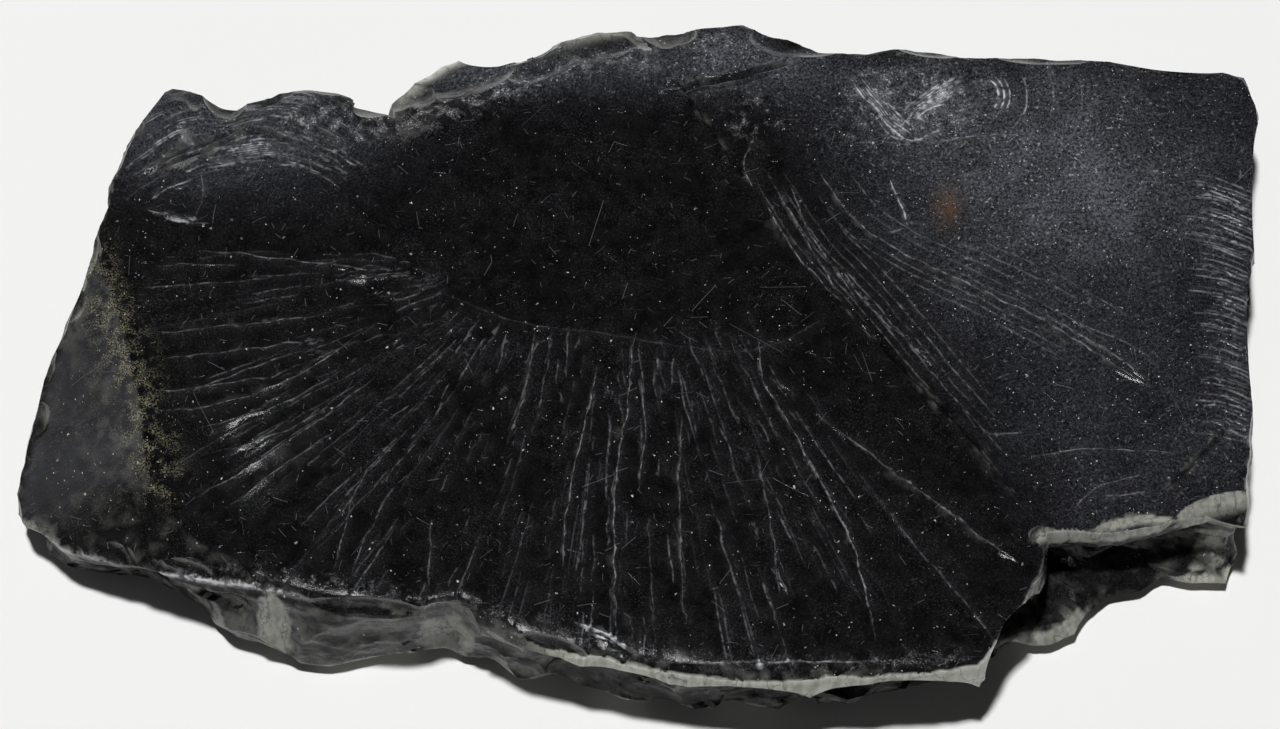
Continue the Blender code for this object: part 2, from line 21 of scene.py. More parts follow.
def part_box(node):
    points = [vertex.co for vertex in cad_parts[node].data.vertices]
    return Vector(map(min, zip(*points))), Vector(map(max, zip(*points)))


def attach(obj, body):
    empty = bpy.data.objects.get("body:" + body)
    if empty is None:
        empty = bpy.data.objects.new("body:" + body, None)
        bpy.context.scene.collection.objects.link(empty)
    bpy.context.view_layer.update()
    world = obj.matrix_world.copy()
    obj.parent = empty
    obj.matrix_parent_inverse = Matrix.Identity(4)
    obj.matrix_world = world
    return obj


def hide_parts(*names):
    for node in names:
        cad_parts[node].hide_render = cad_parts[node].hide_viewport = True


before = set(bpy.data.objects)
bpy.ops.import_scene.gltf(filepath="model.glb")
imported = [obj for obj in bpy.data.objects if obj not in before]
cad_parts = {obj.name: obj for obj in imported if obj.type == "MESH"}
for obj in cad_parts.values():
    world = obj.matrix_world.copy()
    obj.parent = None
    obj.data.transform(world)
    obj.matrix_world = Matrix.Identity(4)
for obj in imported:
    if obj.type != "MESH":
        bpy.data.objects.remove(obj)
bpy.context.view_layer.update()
MM = 0.001                            # metres
NODE = "shungite"
BODY = "root"

# %% [markdown]
# ## Colours and nodes
#
# Colours are easiest to choose as the hex values of a colour picker, but a shader wants linear
# light, so one function converts them. A second function adds a shader or geometry node, sets it
# up and links its inputs in one call, which keeps the node trees short enough to read. An input
# is given by its name, or by its number where a node has several of one name: i0, i1 and so on.


# %% Helpers for colours and nodes
def tint(code):
    """Linear RGBA of an sRGB hex colour."""
    parts = [int(code[index:index + 2], 16) / 255 for index in (1, 3, 5)]
    linear = [part / 12.92 if part <= 0.04045 else ((part + 0.055) / 1.055) ** 2.4 for part in parts]
    return (*linear, 1.0)


def put(tree, kind, settings=None, **inputs):
    """Add a node, set its properties, and give each named input a value or a link."""
    node = tree.nodes.new(kind)
    for name, value in (settings or {}).items():
        setattr(node, name, value)
    for name, value in inputs.items():
        key = int(name[1:]) if name[0] == "i" and name[1:].isdigit() else name.replace("_", " ")
        if isinstance(value, bpy.types.NodeSocket):
            tree.links.new(value, node.inputs[key])
        else:
            node.inputs[key].default_value = value
    return node


print("coal black is", [round(part, 4) for part in tint("#17171a")])

# %% [markdown]
# ## Camera
#
# The stone is seen from high above its front edge. A long lens keeps the slab's outline close to
# a plan view, and the target sits in the middle of the stone. The camera could be turned by a
# constraint that tracks the target, but an angle above the ground is plainer and never rolls.

# %% Camera
CAMERA_HEIGHT = math.radians(68.0)    # angle above the ground
CAMERA_REACH = 0.338                  # metres from the stone
LENS = 130.0
target = Vector((-0.0004, -0.0003, 0.005))
eye = bpy.data.cameras.new("eye")
eye.lens = LENS
eye.clip_start = 0.01
eye_object = bpy.data.objects.new("eye", eye)
backward = Vector((0.0, -math.cos(CAMERA_HEIGHT), math.sin(CAMERA_HEIGHT)))
eye_object.location = target + CAMERA_REACH * backward
eye_object.rotation_euler = (math.pi / 2 - CAMERA_HEIGHT, 0.0, 0.0)
bpy.context.scene.collection.objects.link(eye_object)
bpy.context.scene.camera = eye_object
print("camera at", [round(side, 3) for side in eye_object.location])

# %% [markdown]
# ## Paper
#
# The stone lies on plain white paper. One large quad is enough for a sheet that is seen flat, and
# its size keeps the edge out of every view. Paper is almost fully matt, so its specular level is
# low and its roughness high. It belongs to the stage, not to the stone.


# %% Paper
def paper():
    """Plain white paper."""
    material = bpy.data.materials.new("white_paper")
    material.use_nodes = True
    surface = material.node_tree.nodes["Principled BSDF"]
    surface.inputs["Base Color"].default_value = tint("#f1f1f0")
    surface.inputs["Roughness"].default_value = 0.9
    surface.inputs["Specular IOR Level"].default_value = 0.1
    return material


FLOOR_REACH = 3.0                     # metres
corners = [(x * FLOOR_REACH, y * FLOOR_REACH, 0.0) for x, y in ((-1, -1), (1, -1), (1, 1), (-1, 1))]
floor_mesh = bpy.data.meshes.new("floor")
floor_mesh.from_pydata(corners, [], [(0, 1, 2, 3)])
floor = bpy.data.objects.new("floor", floor_mesh)
floor.data.materials.append(paper())
bpy.context.scene.collection.objects.link(floor)
print("paper", 2 * FLOOR_REACH, "m wide")

# %% [markdown]
# ## Lamps
#
# Black glassy rock shows little but reflections, so the light is part of the material. The
# overhead lamp lights the paper and draws the shadow, but it is hidden from reflections, or the
# broad face would mirror it. The lens lamp is the opposite: it lights nothing dull and only glints,
# in the crests that lean towards it. The side window is mirrored in the facet at the left end, and
# the front window in the front wall. One large soft lamp could do all four jobs, but then the
# glassy face would turn grey.


# %% Lamps
# name, place in metres, side in metres, watts, colour, seen in reflections, lights dull things
LAMPS = (
    ("overhead", (-0.12, 0.17, 1.55), 0.10, 24.0, "#ffffff", False, True),
    ("lens_lamp", (-0.08, -0.16, 0.80), 0.055, 0.5, "#ffffff", True, False),
    ("side_window", (-0.90, 0.30, 0.55), 0.25, 0.15, "#f2f4ff", True, True),
    ("front_window", (-0.14, -0.72, 0.14), 0.20, 0.33, "#ffffff", True, True),
)


def lamp(name, place, side, watts, colour, glints, lights):
    """A soft square lamp that faces the stone."""
    light = bpy.data.lights.new(name, "AREA")
    light.shape = "SQUARE"
    light.size = side
    light.energy = watts
    light.color = tint(colour)[:3]
    item = bpy.data.objects.new(name, light)
    item.location = place
    item.rotation_euler = (-Vector(place)).to_track_quat("-Z", "Y").to_euler()
    item.visible_glossy = glints
    item.visible_diffuse = lights
    bpy.context.scene.collection.objects.link(item)


for row in LAMPS:
    lamp(*row)

# %% [markdown]
# ## Sky
#
# What the flat face mirrors is mostly the room above it, so the room is dim, and it is darkest
# straight up. It is a little lighter near the horizon, where the steep flanks of the hackles look.
# A gradient of two greys does this without a picture of a room.

# %% Sky
SKY_STRENGTH = 0.12
DARK_ABOVE = 0.75                     # sine of the angle from which the sky is darkest
sky = bpy.data.worlds.new("dim_room")
sky.use_nodes = True
tree = sky.node_tree
tree.nodes.clear()
ray = put(tree, "ShaderNodeTexCoord")
climb = put(tree, "ShaderNodeSeparateXYZ", Vector=ray.outputs["Generated"])
fade = put(tree, "ShaderNodeMapRange", {"interpolation_type": "SMOOTHSTEP"}, Value=climb.outputs["Z"],
           From_Min=0.0, From_Max=DARK_ABOVE, To_Min=1.0, To_Max=0.0)
shade = put(tree, "ShaderNodeMix", {"data_type": "RGBA"}, i0=fade.outputs["Result"],
            i6=tint("#2c2d2f"), i7=tint("#8a8b8e"))
glow = put(tree, "ShaderNodeBackground", Color=shade.outputs[2], Strength=SKY_STRENGTH)
put(tree, "ShaderNodeOutputWorld", Surface=glow.outputs["Background"])
bpy.context.scene.world = sky
bpy.context.scene.view_settings.view_transform = "Standard"
print("sky of", len(tree.nodes), "nodes")

# %% [markdown]
# ## Outlines
#
# The slab is described by two closed outlines seen from above: the rim of the broad face, and the
# foot near the ground, whose lobes and ledges stand out beyond the rim. Both are given
# anticlockwise, and both can be seen whole from one point inside, the heart of the stone, so a
# point of the side is an angle and a distance.

# %% Outlines
HEART = (8.0, 4.0)                    # the point inside that sees both outlines whole
SLAB_HEIGHT = 9.8                     # ground to the broad face
SHOULDER_DROP = 1.1                   # rim to the shoulder below it
SHOULDER_OUT = 0.35                   # how far the shoulder stands out
SOLE_INSET = 2.4                      # where the underside has curved in
PATCH_INSET = 6.5                     # where the flat resting patch starts

RIM = (
    (43.2, -13.2), (43.6, -11.4), (43.8, -9.0), (44.2, -4.5), (44.4, 1.5), (44.8, 6.5), (45.5, 10.0),
    (45.9, 15.0), (45.8, 19.6), (45.0, 21.9), (42.0, 22.6), (37.3, 22.9), (30.5, 23.2),
    (24.0, 23.4), (20.0, 24.1), (17.2, 23.7), (13.4, 23.7), (10.8, 24.5), (7.9, 25.9),
    (4.5, 25.6), (1.7, 25.2), (-0.9, 26.0), (-3.0, 25.9), (-5.3, 25.2), (-7.3, 24.3),
    (-8.8, 23.9), (-11.1, 24.4), (-12.6, 24.2), (-14.3, 23.5), (-16.3, 22.1), (-18.0, 20.1),
    (-17.9, 18.6), (-20.5, 19.4), (-22.2, 20.0), (-24.2, 20.2), (-26.2, 20.0), (-27.9, 19.5),
    (-29.4, 19.3), (-33.6, 20.6), (-34.4, 20.7), (-35.3, 20.2), (-36.0, 19.1), (-37.1, 17.5),
    (-37.8, 15.4), (-38.4, 13.3), (-39.0, 10.2), (-40.2, 6.2), (-41.2, 3.3), (-43.2, -1.4),
    (-44.4, -7.0), (-44.9, -10.0), (-44.8, -11.4), (-43.9, -12.6), (-41.6, -14.1),
    (-38.6, -15.3), (-35.0, -16.4), (-31.2, -17.3), (-27.6, -18.2), (-24.9, -18.9),
    (-22.0, -19.5), (-17.0, -20.2),
    (-14.5, -19.8), (-12.8, -19.4), (-11.3, -20.0), (-9.9, -20.9), (-8.5, -21.9),
    (-6.0, -22.9), (-2.8, -23.6), (0.0, -24.3), (4.2, -25.0), (8.5, -25.3),
    (14.1, -25.1), (20.5, -24.8), (24.0, -24.3), (25.6, -22.3), (27.4, -19.6),
    (28.7, -16.8), (29.0, -14.3), (34.3, -14.0), (37.6, -13.3), (40.5, -12.6),
)

FOOT = (
    (43.4, -10.4), (43.9, -5.0), (44.4, 1.0), (45.1, 8.0), (45.5, 14.0), (45.2, 19.0),
    (43.6, 22.0), (37.5, 23.6), (30.0, 23.4), (24.0, 23.9), (17.0, 24.3), (10.0, 25.3),
    (5.0, 25.7), (0.0, 25.7), (-5.0, 25.2), (-9.0, 24.0), (-12.5, 23.3), (-16.0, 21.2),
    (-19.6, 19.6), (-25.0, 20.4), (-30.5, 19.6), (-34.8, 19.6), (-37.0, 16.5),
    (-38.2, 12.0), (-39.4, 8.0), (-41.0, 2.0), (-42.6, -4.0), (-43.4, -8.5),
    (-43.8, -10.8), (-42.3, -12.4), (-40.2, -13.4), (-38.2, -14.2), (-35.6, -14.9),
    (-33.4, -15.7), (-32.0, -16.8), (-30.6, -18.0), (-28.8, -19.6), (-26.5, -20.3),
    (-22.1, -21.5), (-17.5, -20.9), (-14.0, -20.5), (-10.5, -21.3), (-8.3, -22.5),
    (-5.8, -22.4), (-3.4, -23.3), (-0.9, -24.3), (1.3, -23.7), (4.0, -23.7),
    (7.9, -25.0), (10.1, -25.3), (13.5, -24.3), (18.0, -23.6), (23.0, -23.0),
    (25.4, -21.2), (27.4, -20.1), (29.7, -20.0), (31.3, -19.1), (32.8, -17.7),
    (34.4, -16.6), (36.6, -16.1), (38.2, -14.9), (40.0, -15.4), (42.7, -15.4),
    (44.0, -13.2),
)

print("rim points", len(RIM), "foot points", len(FOOT))

# %% [markdown]
# ## Hollows, ledges and bands
#
# Between rim and foot the side isn't straight: the slab overhangs in places, thin ledges stand out
# near the ground, and a taller band runs under parts of the rim. Each of these is a round patch of
# the outline, given by its middle, its reach and how much it does there.

# %% Hollows, ledges and bands
# Hollows under the rim: (x, y, reach, depth)
HOLLOWS = (
    (34.0, -14.5, 8.0, 2.4), (22.0, -24.6, 7.0, 1.6), (9.0, -25.0, 5.0, 0.9),
    (-42.5, -3.0, 12.0, 1.1), (-2.0, -24.0, 4.0, 0.7), (40.0, 23.0, 8.0, 1.0),
    (14.0, 24.0, 5.0, 0.7), (45.5, 4.0, 9.0, 0.5), (-24.0, 21.0, 6.0, 0.6),
)

# Where the side steps out to the foot: (x, y, reach, lateness)
STEPS_OUT = (
    (34.0, -15.5, 9.0, 5.0), (43.5, -14.0, 4.0, -0.6), (-6.0, 24.0, 10.0, -0.75),
    (8.0, -25.0, 8.0, 1.6),
)

# Taller bands under the rim: (x, y, reach, extra height)
BANDS = (
    (2.0, -24.5, 7.0, 1.3), (15.0, -25.0, 8.0, 1.7), (24.0, -24.0, 5.0, 1.4), (31.0, -14.2, 6.0, 1.6),
)

print(len(HOLLOWS), "hollows,", len(STEPS_OUT), "ledges and", len(BANDS), "taller bands")

# %% [markdown]
# ## Places round the heart
#
# Every point of the side is known by its angle and distance from the heart. Two helpers turn plan
# places into angles and distances, and find how far out an outline lies along an angle. Between its
# points an outline is straight, so the distance comes from where a ray crosses one straight side.


# %% Angle and distance
def polar(points):
    """Angle and distance of plan points as seen from the heart of the stone."""
    offset = np.asarray(points, float) - HEART
    return np.arctan2(offset[:, 1], offset[:, 0]), np.hypot(offset[:, 0], offset[:, 1])


def outline_reach(outline, angles):
    """Distance from the heart to a closed outline along each angle, straight between its points."""
    turn, _ = polar(outline)
    ring = np.roll(np.asarray(outline, float) - HEART, -int(np.argmin(turn)), axis=0)
    ring = np.vstack((ring[-1], ring, ring[0]))
    turn = np.unwrap(np.arctan2(ring[:, 1], ring[:, 0]))
    angles = turn[1] + (angles - turn[1]) % (2 * math.pi)
    slot = np.clip(np.searchsorted(turn, angles) - 1, 0, len(ring) - 2)
    first = ring[slot]
    side = ring[slot + 1] - first
    across = np.cos(angles) * side[:, 1] - np.sin(angles) * side[:, 0]
    return (first[:, 0] * side[:, 1] - first[:, 1] * side[:, 0]) / across


print("the rim lies", outline_reach(RIM, np.array((0.0,))).round(1)[0], "mm to the right of the heart")

# %% [markdown]
# ## Break lines
#
# Three kinds of rule shape the broad face. Swells are round bumps and dishes. Folds are lines past
# which the face drops away. Crests are saw-tooth steps: a steep flank on the right of a line and a
# long one on its left, which is how a hackle looks when the crack has run from left to right. Each
# line is bent smoothly through a few points, and its triangles will follow it, so the edge is crisp.


# %% Lines
def bend(points, spacing):
    """Bend a line through its points (Catmull-Rom) and divide it at the spacing."""
    control = np.asarray(points, float)
    control = np.vstack((2 * control[0] - control[1], control, 2 * control[-1] - control[-2]))
    line = [control[1]]
    for before, start, end, after in zip(control, control[1:], control[2:], control[3:]):
        count = max(1, round(np.hypot(*(end - start)) / spacing))
        for t in np.arange(1, count + 1) / count:
            curve = 2 * start + (end - before) * t
            curve = curve + (2 * before - 5 * start + 4 * end - after) * t * t
            curve = curve + (3 * start - before - 3 * end + after) * t ** 3
            line.append(curve / 2)
    return np.array(line)


def waver(line, amount, stride):
    """Shake a line a little, as a crack never runs quite true."""
    shifts = [(noise.noise((x / stride, y / stride, 3.1)), noise.noise((x / stride, y / stride, 8.7)))
              for x, y in line]
    return line + amount * np.array(shifts)


def offset_line(line, distance):
    """The line moved sideways to its right."""
    along = np.gradient(line, axis=0)
    along = along / np.hypot(*along.T)[:, None]
    return line + distance * np.column_stack((along[:, 1], -along[:, 0]))


print("a bent line", len(bend(((0, 0), (5, 1), (9, 4)), 0.5)), "points")

# %% [markdown]
# ## Distance to a line
#
# Every rule of the face asks how far a place is from a line, and on which side of it. The nearest
# of the line's straight pieces gives both, and also how far along the line the place lies, so that
# a crest can fade out at its ends. Only places in the box round a line need to be asked at all.


# %% Distance to a line
def side_of_line(places, line):
    """Signed distance of places from a line (left is positive) and how far along it they lie."""
    best = np.full(len(places), 1e9)
    signed = np.zeros(len(places))
    along = np.zeros(len(places))
    lengths = np.hypot(*np.diff(line, axis=0).T)
    starts = np.concatenate(((0.0,), np.cumsum(lengths)))
    for index, length in enumerate(lengths):
        side = (line[index + 1] - line[index]) / length
        offset = places - line[index]
        run = np.clip(offset @ side, 0.0, length)
        gap = np.hypot(offset[:, 0] - run * side[0], offset[:, 1] - run * side[1])
        nearer = gap < best - 1e-9
        left = side[0] * offset[:, 1] - side[1] * offset[:, 0]
        best = np.where(nearer, gap, best)
        signed = np.where(nearer, np.where(left < 0, -gap, gap), signed)
        along = np.where(nearer, (starts[index] + run) / starts[-1], along)
    return signed, along


def near_line(places, line, margin):
    """Which places lie in the box round a line, widened by a margin."""
    low = line.min(axis=0) - margin
    high = line.max(axis=0) + margin
    return np.flatnonzero(np.all((places > low) & (places < high), axis=1))


aside, _ = side_of_line(np.array(((1.0, 2.0),)), np.array(((0.0, 0.0), (10.0, 0.0))))
print("distance to the left of a line", aside[0])

# %% [markdown]
# ## The large forms
#
# The main swells, folds and cracks are this stone's own, so no rule can make them. They could be
# sculpted by hand, but a row of numbers is easier to set right: each row is one form, such as the
# dish of the main shell, the duller facet at the left end, or the crack along the back rim.

# %% Swells, folds and cracks
# (x, y, reach in x, reach in y, height)
SWELLS = (
    (-3.0, 11.5, 11.0, 8.0, -0.9), (-25.0, -5.0, 9.0, 8.0, 0.3), (-29.0, 5.5, 9.0, 3.5, -0.3),
    (6.0, -8.0, 9.0, 7.0, 0.35), (36.0, 12.0, 9.0, 10.0, 0.3), (27.0, 3.5, 9.0, 5.0, 0.35),
    (24.0, 15.0, 7.0, 6.0, -0.4), (36.0, -9.0, 7.0, 5.0, -0.35), (-34.5, 13.5, 5.0, 3.5, -0.6),
    (-14.0, -14.0, 6.0, 6.0, -0.25), (20.0, -19.0, 7.0, 5.0, -0.3), (-34.0, 18.0, 2.8, 2.6, 1.2),
    (-24.8, 18.2, 4.4, 2.4, 1.3), (-20.5, 15.6, 3.0, 2.4, -0.6), (6.5, 23.6, 4.5, 2.2, 0.5),
    (-30.1, 17.6, 1.5, 2.4, -0.8), (-18.4, 18.2, 2.0, 1.8, -0.5), (-29.5, 14.4, 5.0, 1.3, -0.5),
    (44.0, 20.0, 4.0, 4.0, -0.5),
)

# Where the face drops away on the left of a line: (slope, reach, points)
FOLDS = (
    # the duller facet along the left end
    (0.52, 30.0, ((-26.0, -30.0), (-27.4, -17.9), (-31.4, -14.8), (-34.6, -10.5), (-35.6, -4.8),
                  (-36.9, 0.7), (-38.6, 5.6), (-39.7, 9.4), (-40.6, 14.0), (-46.0, 30.0))),
    # the lumpy ground behind the main shell at the upper left
    (0.16, 6.0, ((-46.0, 7.0), (-39.9, 8.8), (-34.8, 9.0), (-30.1, 10.6), (-25.8, 12.6),
                 (-22.9, 15.0), (-19.2, 16.2), (-15.0, 19.0))),
    # the worn bevel along the back rim
    (0.50, 20.0, ((-22.0, 30.0), (-19.0, 16.6), (-14.4, 17.4), (-13.6, 18.3), (-11.9, 19.1),
                  (-8.9, 19.7), (-7.1, 20.7), (-4.5, 21.4), (-1.5, 21.4), (1.5, 20.9), (4.0, 30.0))),
    # the right shell, lower than the main one along its front
    (0.55, 1.8, ((12.0, 7.0), (14.9, 2.6), (18.8, -2.0), (22.3, -6.9), (24.1, -9.6), (27.2, -12.6),
                 (29.2, -14.9), (32.0, -19.0))),
)

# Narrow cracks: (depth, half width, points)
GROOVES = (
    (0.9, 0.20, ((1.9, 20.3), (4.5, 20.9), (7.4, 21.5), (9.7, 22.2), (12.4, 23.0))),
    (0.35, 0.12, ((14.9, 3.0), (18.9, -1.7), (23.2, -6.3), (26.2, -10.4), (28.6, -14.0))),
    (0.4, 0.14, ((44.0, -4.6), (41.3, -7.4), (39.1, -9.7), (36.8, -11.6))),
    (0.3, 0.12, ((-36.8, 13.9), (-34.6, 15.0), (-32.0, 15.9), (-29.6, 17.2), (-27.3, 16.4), (-24.8, 15.6))),
)
print(len(SWELLS), "swells,", len(FOLDS), "folds and", len(GROOVES), "cracks")

# %% [markdown]
# ## The main crests
#
# Each large hackle has a row of its own too, because it is a landmark of this stone: the edges of
# the two great shells, the fan down the middle, the hackles over the left lobe, the lumps behind
# it, and the glints along the front. A crest is one line with two flanks, and how worn it is says
# how pale it will be drawn; the most worn are drawn as painted glints and highlights.

# %% Main crests
# (height, width of the steep flank, reach of the long flank, how worn and pale it is, drawn as a
# painted glint above 1.2, points)
CRESTS = (
    # edges of the two great shells
    (0.55, 0.40, 2.6, 0.75, ((8.8, 17.1), (7.9, 14.4), (9.5, 10.7), (11.8, 6.6), (14.9, 3.0))),
    (0.30, 0.25, 1.6, 0.6, ((10.0, 12.9), (12.2, 8.4), (14.8, 3.4))),
    (0.34, 0.25, 1.8, 0.6, ((11.2, 13.1), (12.8, 8.4), (16.2, 3.1))),
    (0.40, 0.30, 2.0, 0.55, ((14.5, 6.4), (17.0, 2.7), (22.1, -2.1))),
    (0.75, 0.45, 3.2, 0.8, ((12.9, 15.2), (14.9, 11.3), (18.2, 8.0), (24.9, 4.2), (30.2, 1.3), (37.3, -3.3))),
    (0.28, 0.25, 1.5, 0.65, ((29.5, 2.1), (33.8, -0.3), (37.0, -2.8))),
    (0.22, 0.20, 1.2, 0.5, ((31.0, 2.1), (35.5, 0.1), (37.4, -1.0))),
    (0.45, 0.35, 2.2, 1.9, ((24.1, 21.4), (21.1, 19.3), (19.2, 17.2))),
    (0.30, 0.25, 1.4, 1.6, ((23.0, 19.6), (21.0, 18.4), (19.6, 17.4))),
    (0.60, 0.40, 2.4, 1.6, ((15.6, 21.9), (17.0, 19.7), (18.5, 17.8), (20.1, 16.4), (22.6, 17.6))),
    (0.26, 0.20, 1.4, 0.7, ((22.0, 16.4), (25.0, 16.9), (28.4, 17.0))),
    (0.40, 0.30, 1.6, 1.5, ((18.6, 13.4), (19.1, 11.8), (19.9, 9.4))),
    (0.22, 0.20, 0.8, 0.7, ((18.0, 8.7), (19.6, 9.3))),
    # hackles down the middle of the face
    (0.26, 0.20, 1.2, 0.4, ((-9.4, 0.7), (-10.1, -2.6))),
    (0.30, 0.20, 1.5, 0.55, ((-7.4, 0.7), (-8.0, -3.6), (-9.3, -8.0))),
    (0.28, 0.20, 1.4, 0.35, ((-4.9, 1.4), (-5.1, -3.0))),
    (0.55, 0.30, 2.4, 0.8, ((-2.8, -1.8), (-3.7, -6.2), (-4.9, -12.0), (-5.3, -17.5))),
    (0.65, 0.30, 2.8, 0.95, ((-0.1, 0.9), (-0.7, -4.8), (-1.6, -12.0), (-1.5, -22.6))),
    (0.30, 0.20, 1.4, 0.5, ((0.2, -2.5), (0.6, -6.4), (0.0, -12.0))),
    (0.20, 0.15, 0.8, 0.45, ((1.5, -1.2), (1.3, -3.6))),
    (0.20, 0.15, 0.8, 0.45, ((2.7, -1.2), (2.4, -3.8))),
    (0.40, 0.25, 1.8, 0.55, ((3.2, -5.7), (3.0, -12.0), (3.3, -20.8))),
    (0.65, 0.30, 2.8, 0.9, ((8.6, 0.9), (9.2, -3.5), (11.4, -7.6), (15.2, -15.6), (16.9, -22.6))),
    (0.34, 0.22, 1.6, 0.4, ((8.5, -8.4), (9.7, -15.4), (10.1, -19.2))),
    (0.45, 0.28, 2.0, 0.5, ((13.5, -6.3), (19.8, -11.3), (27.2, -17.0))),
    # hackles over the left lobe
    (0.45, 0.28, 2.0, 0.45, ((-19.6, 0.9), (-24.6, -2.8), (-30.3, -4.9), (-34.6, -5.2))),
    (0.28, 0.20, 1.4, 0.3, ((-21.0, -2.1), (-25.3, -4.8), (-31.7, -6.7))),
    (0.28, 0.20, 1.4, 0.3, ((-19.5, -2.8), (-24.5, -6.7), (-30.5, -8.6))),
    (0.55, 0.30, 2.4, 0.5, ((-18.8, -2.8), (-22.3, -5.9), (-26.6, -9.0), (-31.6, -11.9))),
    (0.30, 0.20, 1.4, 0.35, ((-21.2, -6.7), (-26.5, -10.6), (-29.4, -12.8))),
    (0.30, 0.20, 1.5, 0.45, ((-22.5, 2.3), (-26.9, 1.6), (-35.6, 0.8))),
    (0.26, 0.20, 1.3, 0.4, ((-22.5, 0.3), (-27.6, -0.5), (-34.1, -1.1))),
    (0.22, 0.20, 1.1, 0.35, ((-26.0, -2.6), (-31.8, -3.5), (-35.0, -3.6))),
    (0.30, 0.20, 1.5, 0.55, ((-18.6, 5.6), (-24.9, 6.6), (-29.6, 7.3))),
    (0.36, 0.22, 1.7, 0.45, ((-16.9, -7.1), (-19.7, -10.9), (-21.5, -17.6))),
    (0.28, 0.20, 1.3, 0.35, ((-17.2, -10.9), (-19.3, -15.1), (-20.3, -18.0))),
    (0.26, 0.20, 1.3, 0.45, ((-14.6, -13.4), (-14.7, -18.6))),
    # the line where the glassy dish of the main shell stops
    (0.12, 1.4, 3.0, 0.1, ((15.6, 3.2), (8.0, -0.7), (-2.9, 0.8), (-8.7, 1.7), (-14.8, 4.2))),
    # short breaks in the lower right corner
    (0.35, 0.22, 1.5, 0.6, ((38.9, -8.0), (32.9, -7.8), (27.9, -8.6))),
    (0.32, 0.22, 1.4, 0.5, ((36.6, -9.7), (33.1, -10.7), (31.0, -12.4))),
    (0.20, 0.18, 0.9, 0.45, ((27.9, -6.6), (24.9, -6.9))),
    (0.20, 0.18, 0.9, 0.45, ((37.0, -11.0), (33.1, -11.5))),
    # bright rounded edge along the front, with a painted highlight and painted glints on it
    (0.12, 0.30, 0.5, 1.8, ((-4.5, -21.2), (-2.4, -22.0), (0.4, -23.6))),
    (0.06, 0.12, 0.3, 1.6, ((-4.2, -21.4), (-2.3, -22.15), (0.2, -23.65))),
    (0.06, 0.12, 0.3, 1.4, ((-3.4, -21.9), (-1.4, -22.8))),
    (0.08, 0.12, 0.3, 0.9, ((1.4, -23.9), (7.1, -24.1), (11.3, -24.0), (16.9, -23.9))),
    # the crack in front of the lump on the back rim
    (0.80, 0.35, 2.6, 0.25, ((1.2, 20.0), (4.5, 20.7), (7.4, 21.2), (10.4, 22.2), (12.6, 23.2))),
    # lumps at the upper left
    (0.70, 0.45, 2.2, 0.3, ((-38.0, 13.6), (-32.5, 15.7), (-28.8, 17.2), (-25.0, 15.9), (-22.0, 14.6))),
    (0.45, 0.30, 1.6, 0.3, ((-31.0, 15.0), (-28.0, 15.2), (-25.4, 14.4))),
    (0.40, 0.30, 1.4, 0.5, ((-32.2, 10.2), (-31.8, 12.0), (-32.1, 14.4))),
    (0.50, 0.35, 1.8, 0.8, ((-36.2, 11.2), (-33.6, 9.9), (-31.2, 9.5))),
)
print(len(CRESTS), "main crests")

# %% [markdown]
# ## Small hackles from one rule
#
# A crack front spreads out as a ring, and hackles cross the ring at a right angle. If the break
# starts along a short line instead of at a point, the rings are ellipses and the hackles are the
# hyperbolas that share the ellipses' two foci. So a small hackle needs only an angle, a start and
# an end, and a seeded random choice of those three covers the face with a believable fan.

# %% Hackle rule
FAN_CENTRE = np.array((-0.4, 7.1))
FAN_HALF = 12.1                       # half the distance between the two foci
FAN_TURN = math.radians(6.2)


def fan_path(angle, start, end, count):
    """Points of the hyperbola at an angle, between two rings of the crack front."""
    ring = np.linspace(start, end, count)
    x = FAN_HALF * np.cosh(ring) * math.cos(angle)
    y = FAN_HALF * np.sinh(ring) * math.sin(angle)
    turned = np.column_stack((x * math.cos(FAN_TURN) - y * math.sin(FAN_TURN),
                              x * math.sin(FAN_TURN) + y * math.cos(FAN_TURN)))
    return turned + FAN_CENTRE


def fan_place(places):
    """Angle and ring of plan places in the fan."""
    offset = places - FAN_CENTRE
    turned = (offset[:, 0] + 1j * offset[:, 1]) * np.exp(-1j * FAN_TURN)
    spread = np.arccosh(turned / FAN_HALF)
    return np.imag(spread), np.abs(np.real(spread))


def bundle(points, gaps, height, wear, pick):
    """Thin hackles that run beside a main one, each over only a part of its length."""
    line = bend(points, 0.5)
    crests = []
    for gap in gaps:
        first = int(pick.uniform(0.0, 0.45) * len(line))
        last = int(pick.uniform(0.6, 1.0) * len(line))
        beside = offset_line(line, -gap)[first:last:4]
        if len(beside) > 2:
            crests.append((height, 0.12, 0.5, wear * pick.uniform(0.5, 1.0), tuple(map(tuple, beside))))
    return crests


print("a hackle starts at", fan_path(math.radians(270.0), 1.0, 1.3, 4)[0].round(1))

# %% [markdown]
# ## Small hackles
#
# The fan is filled by seeded chance. Beside each large hackle run finer ones, as if it were made
# of several, so bundles copy its line sideways. The right edge carries a comb of short close
# crests, and where a later blow struck there are ripples round a point. The order of the draws
# matters: each call takes the next numbers of one random stream.


# %% Hackles by chance
SHELL, SECOND_SHELL, SCUFF_LEFT, SCUFF_RIGHT = (CRESTS[row][4] for row in (0, 4, 7, 9))
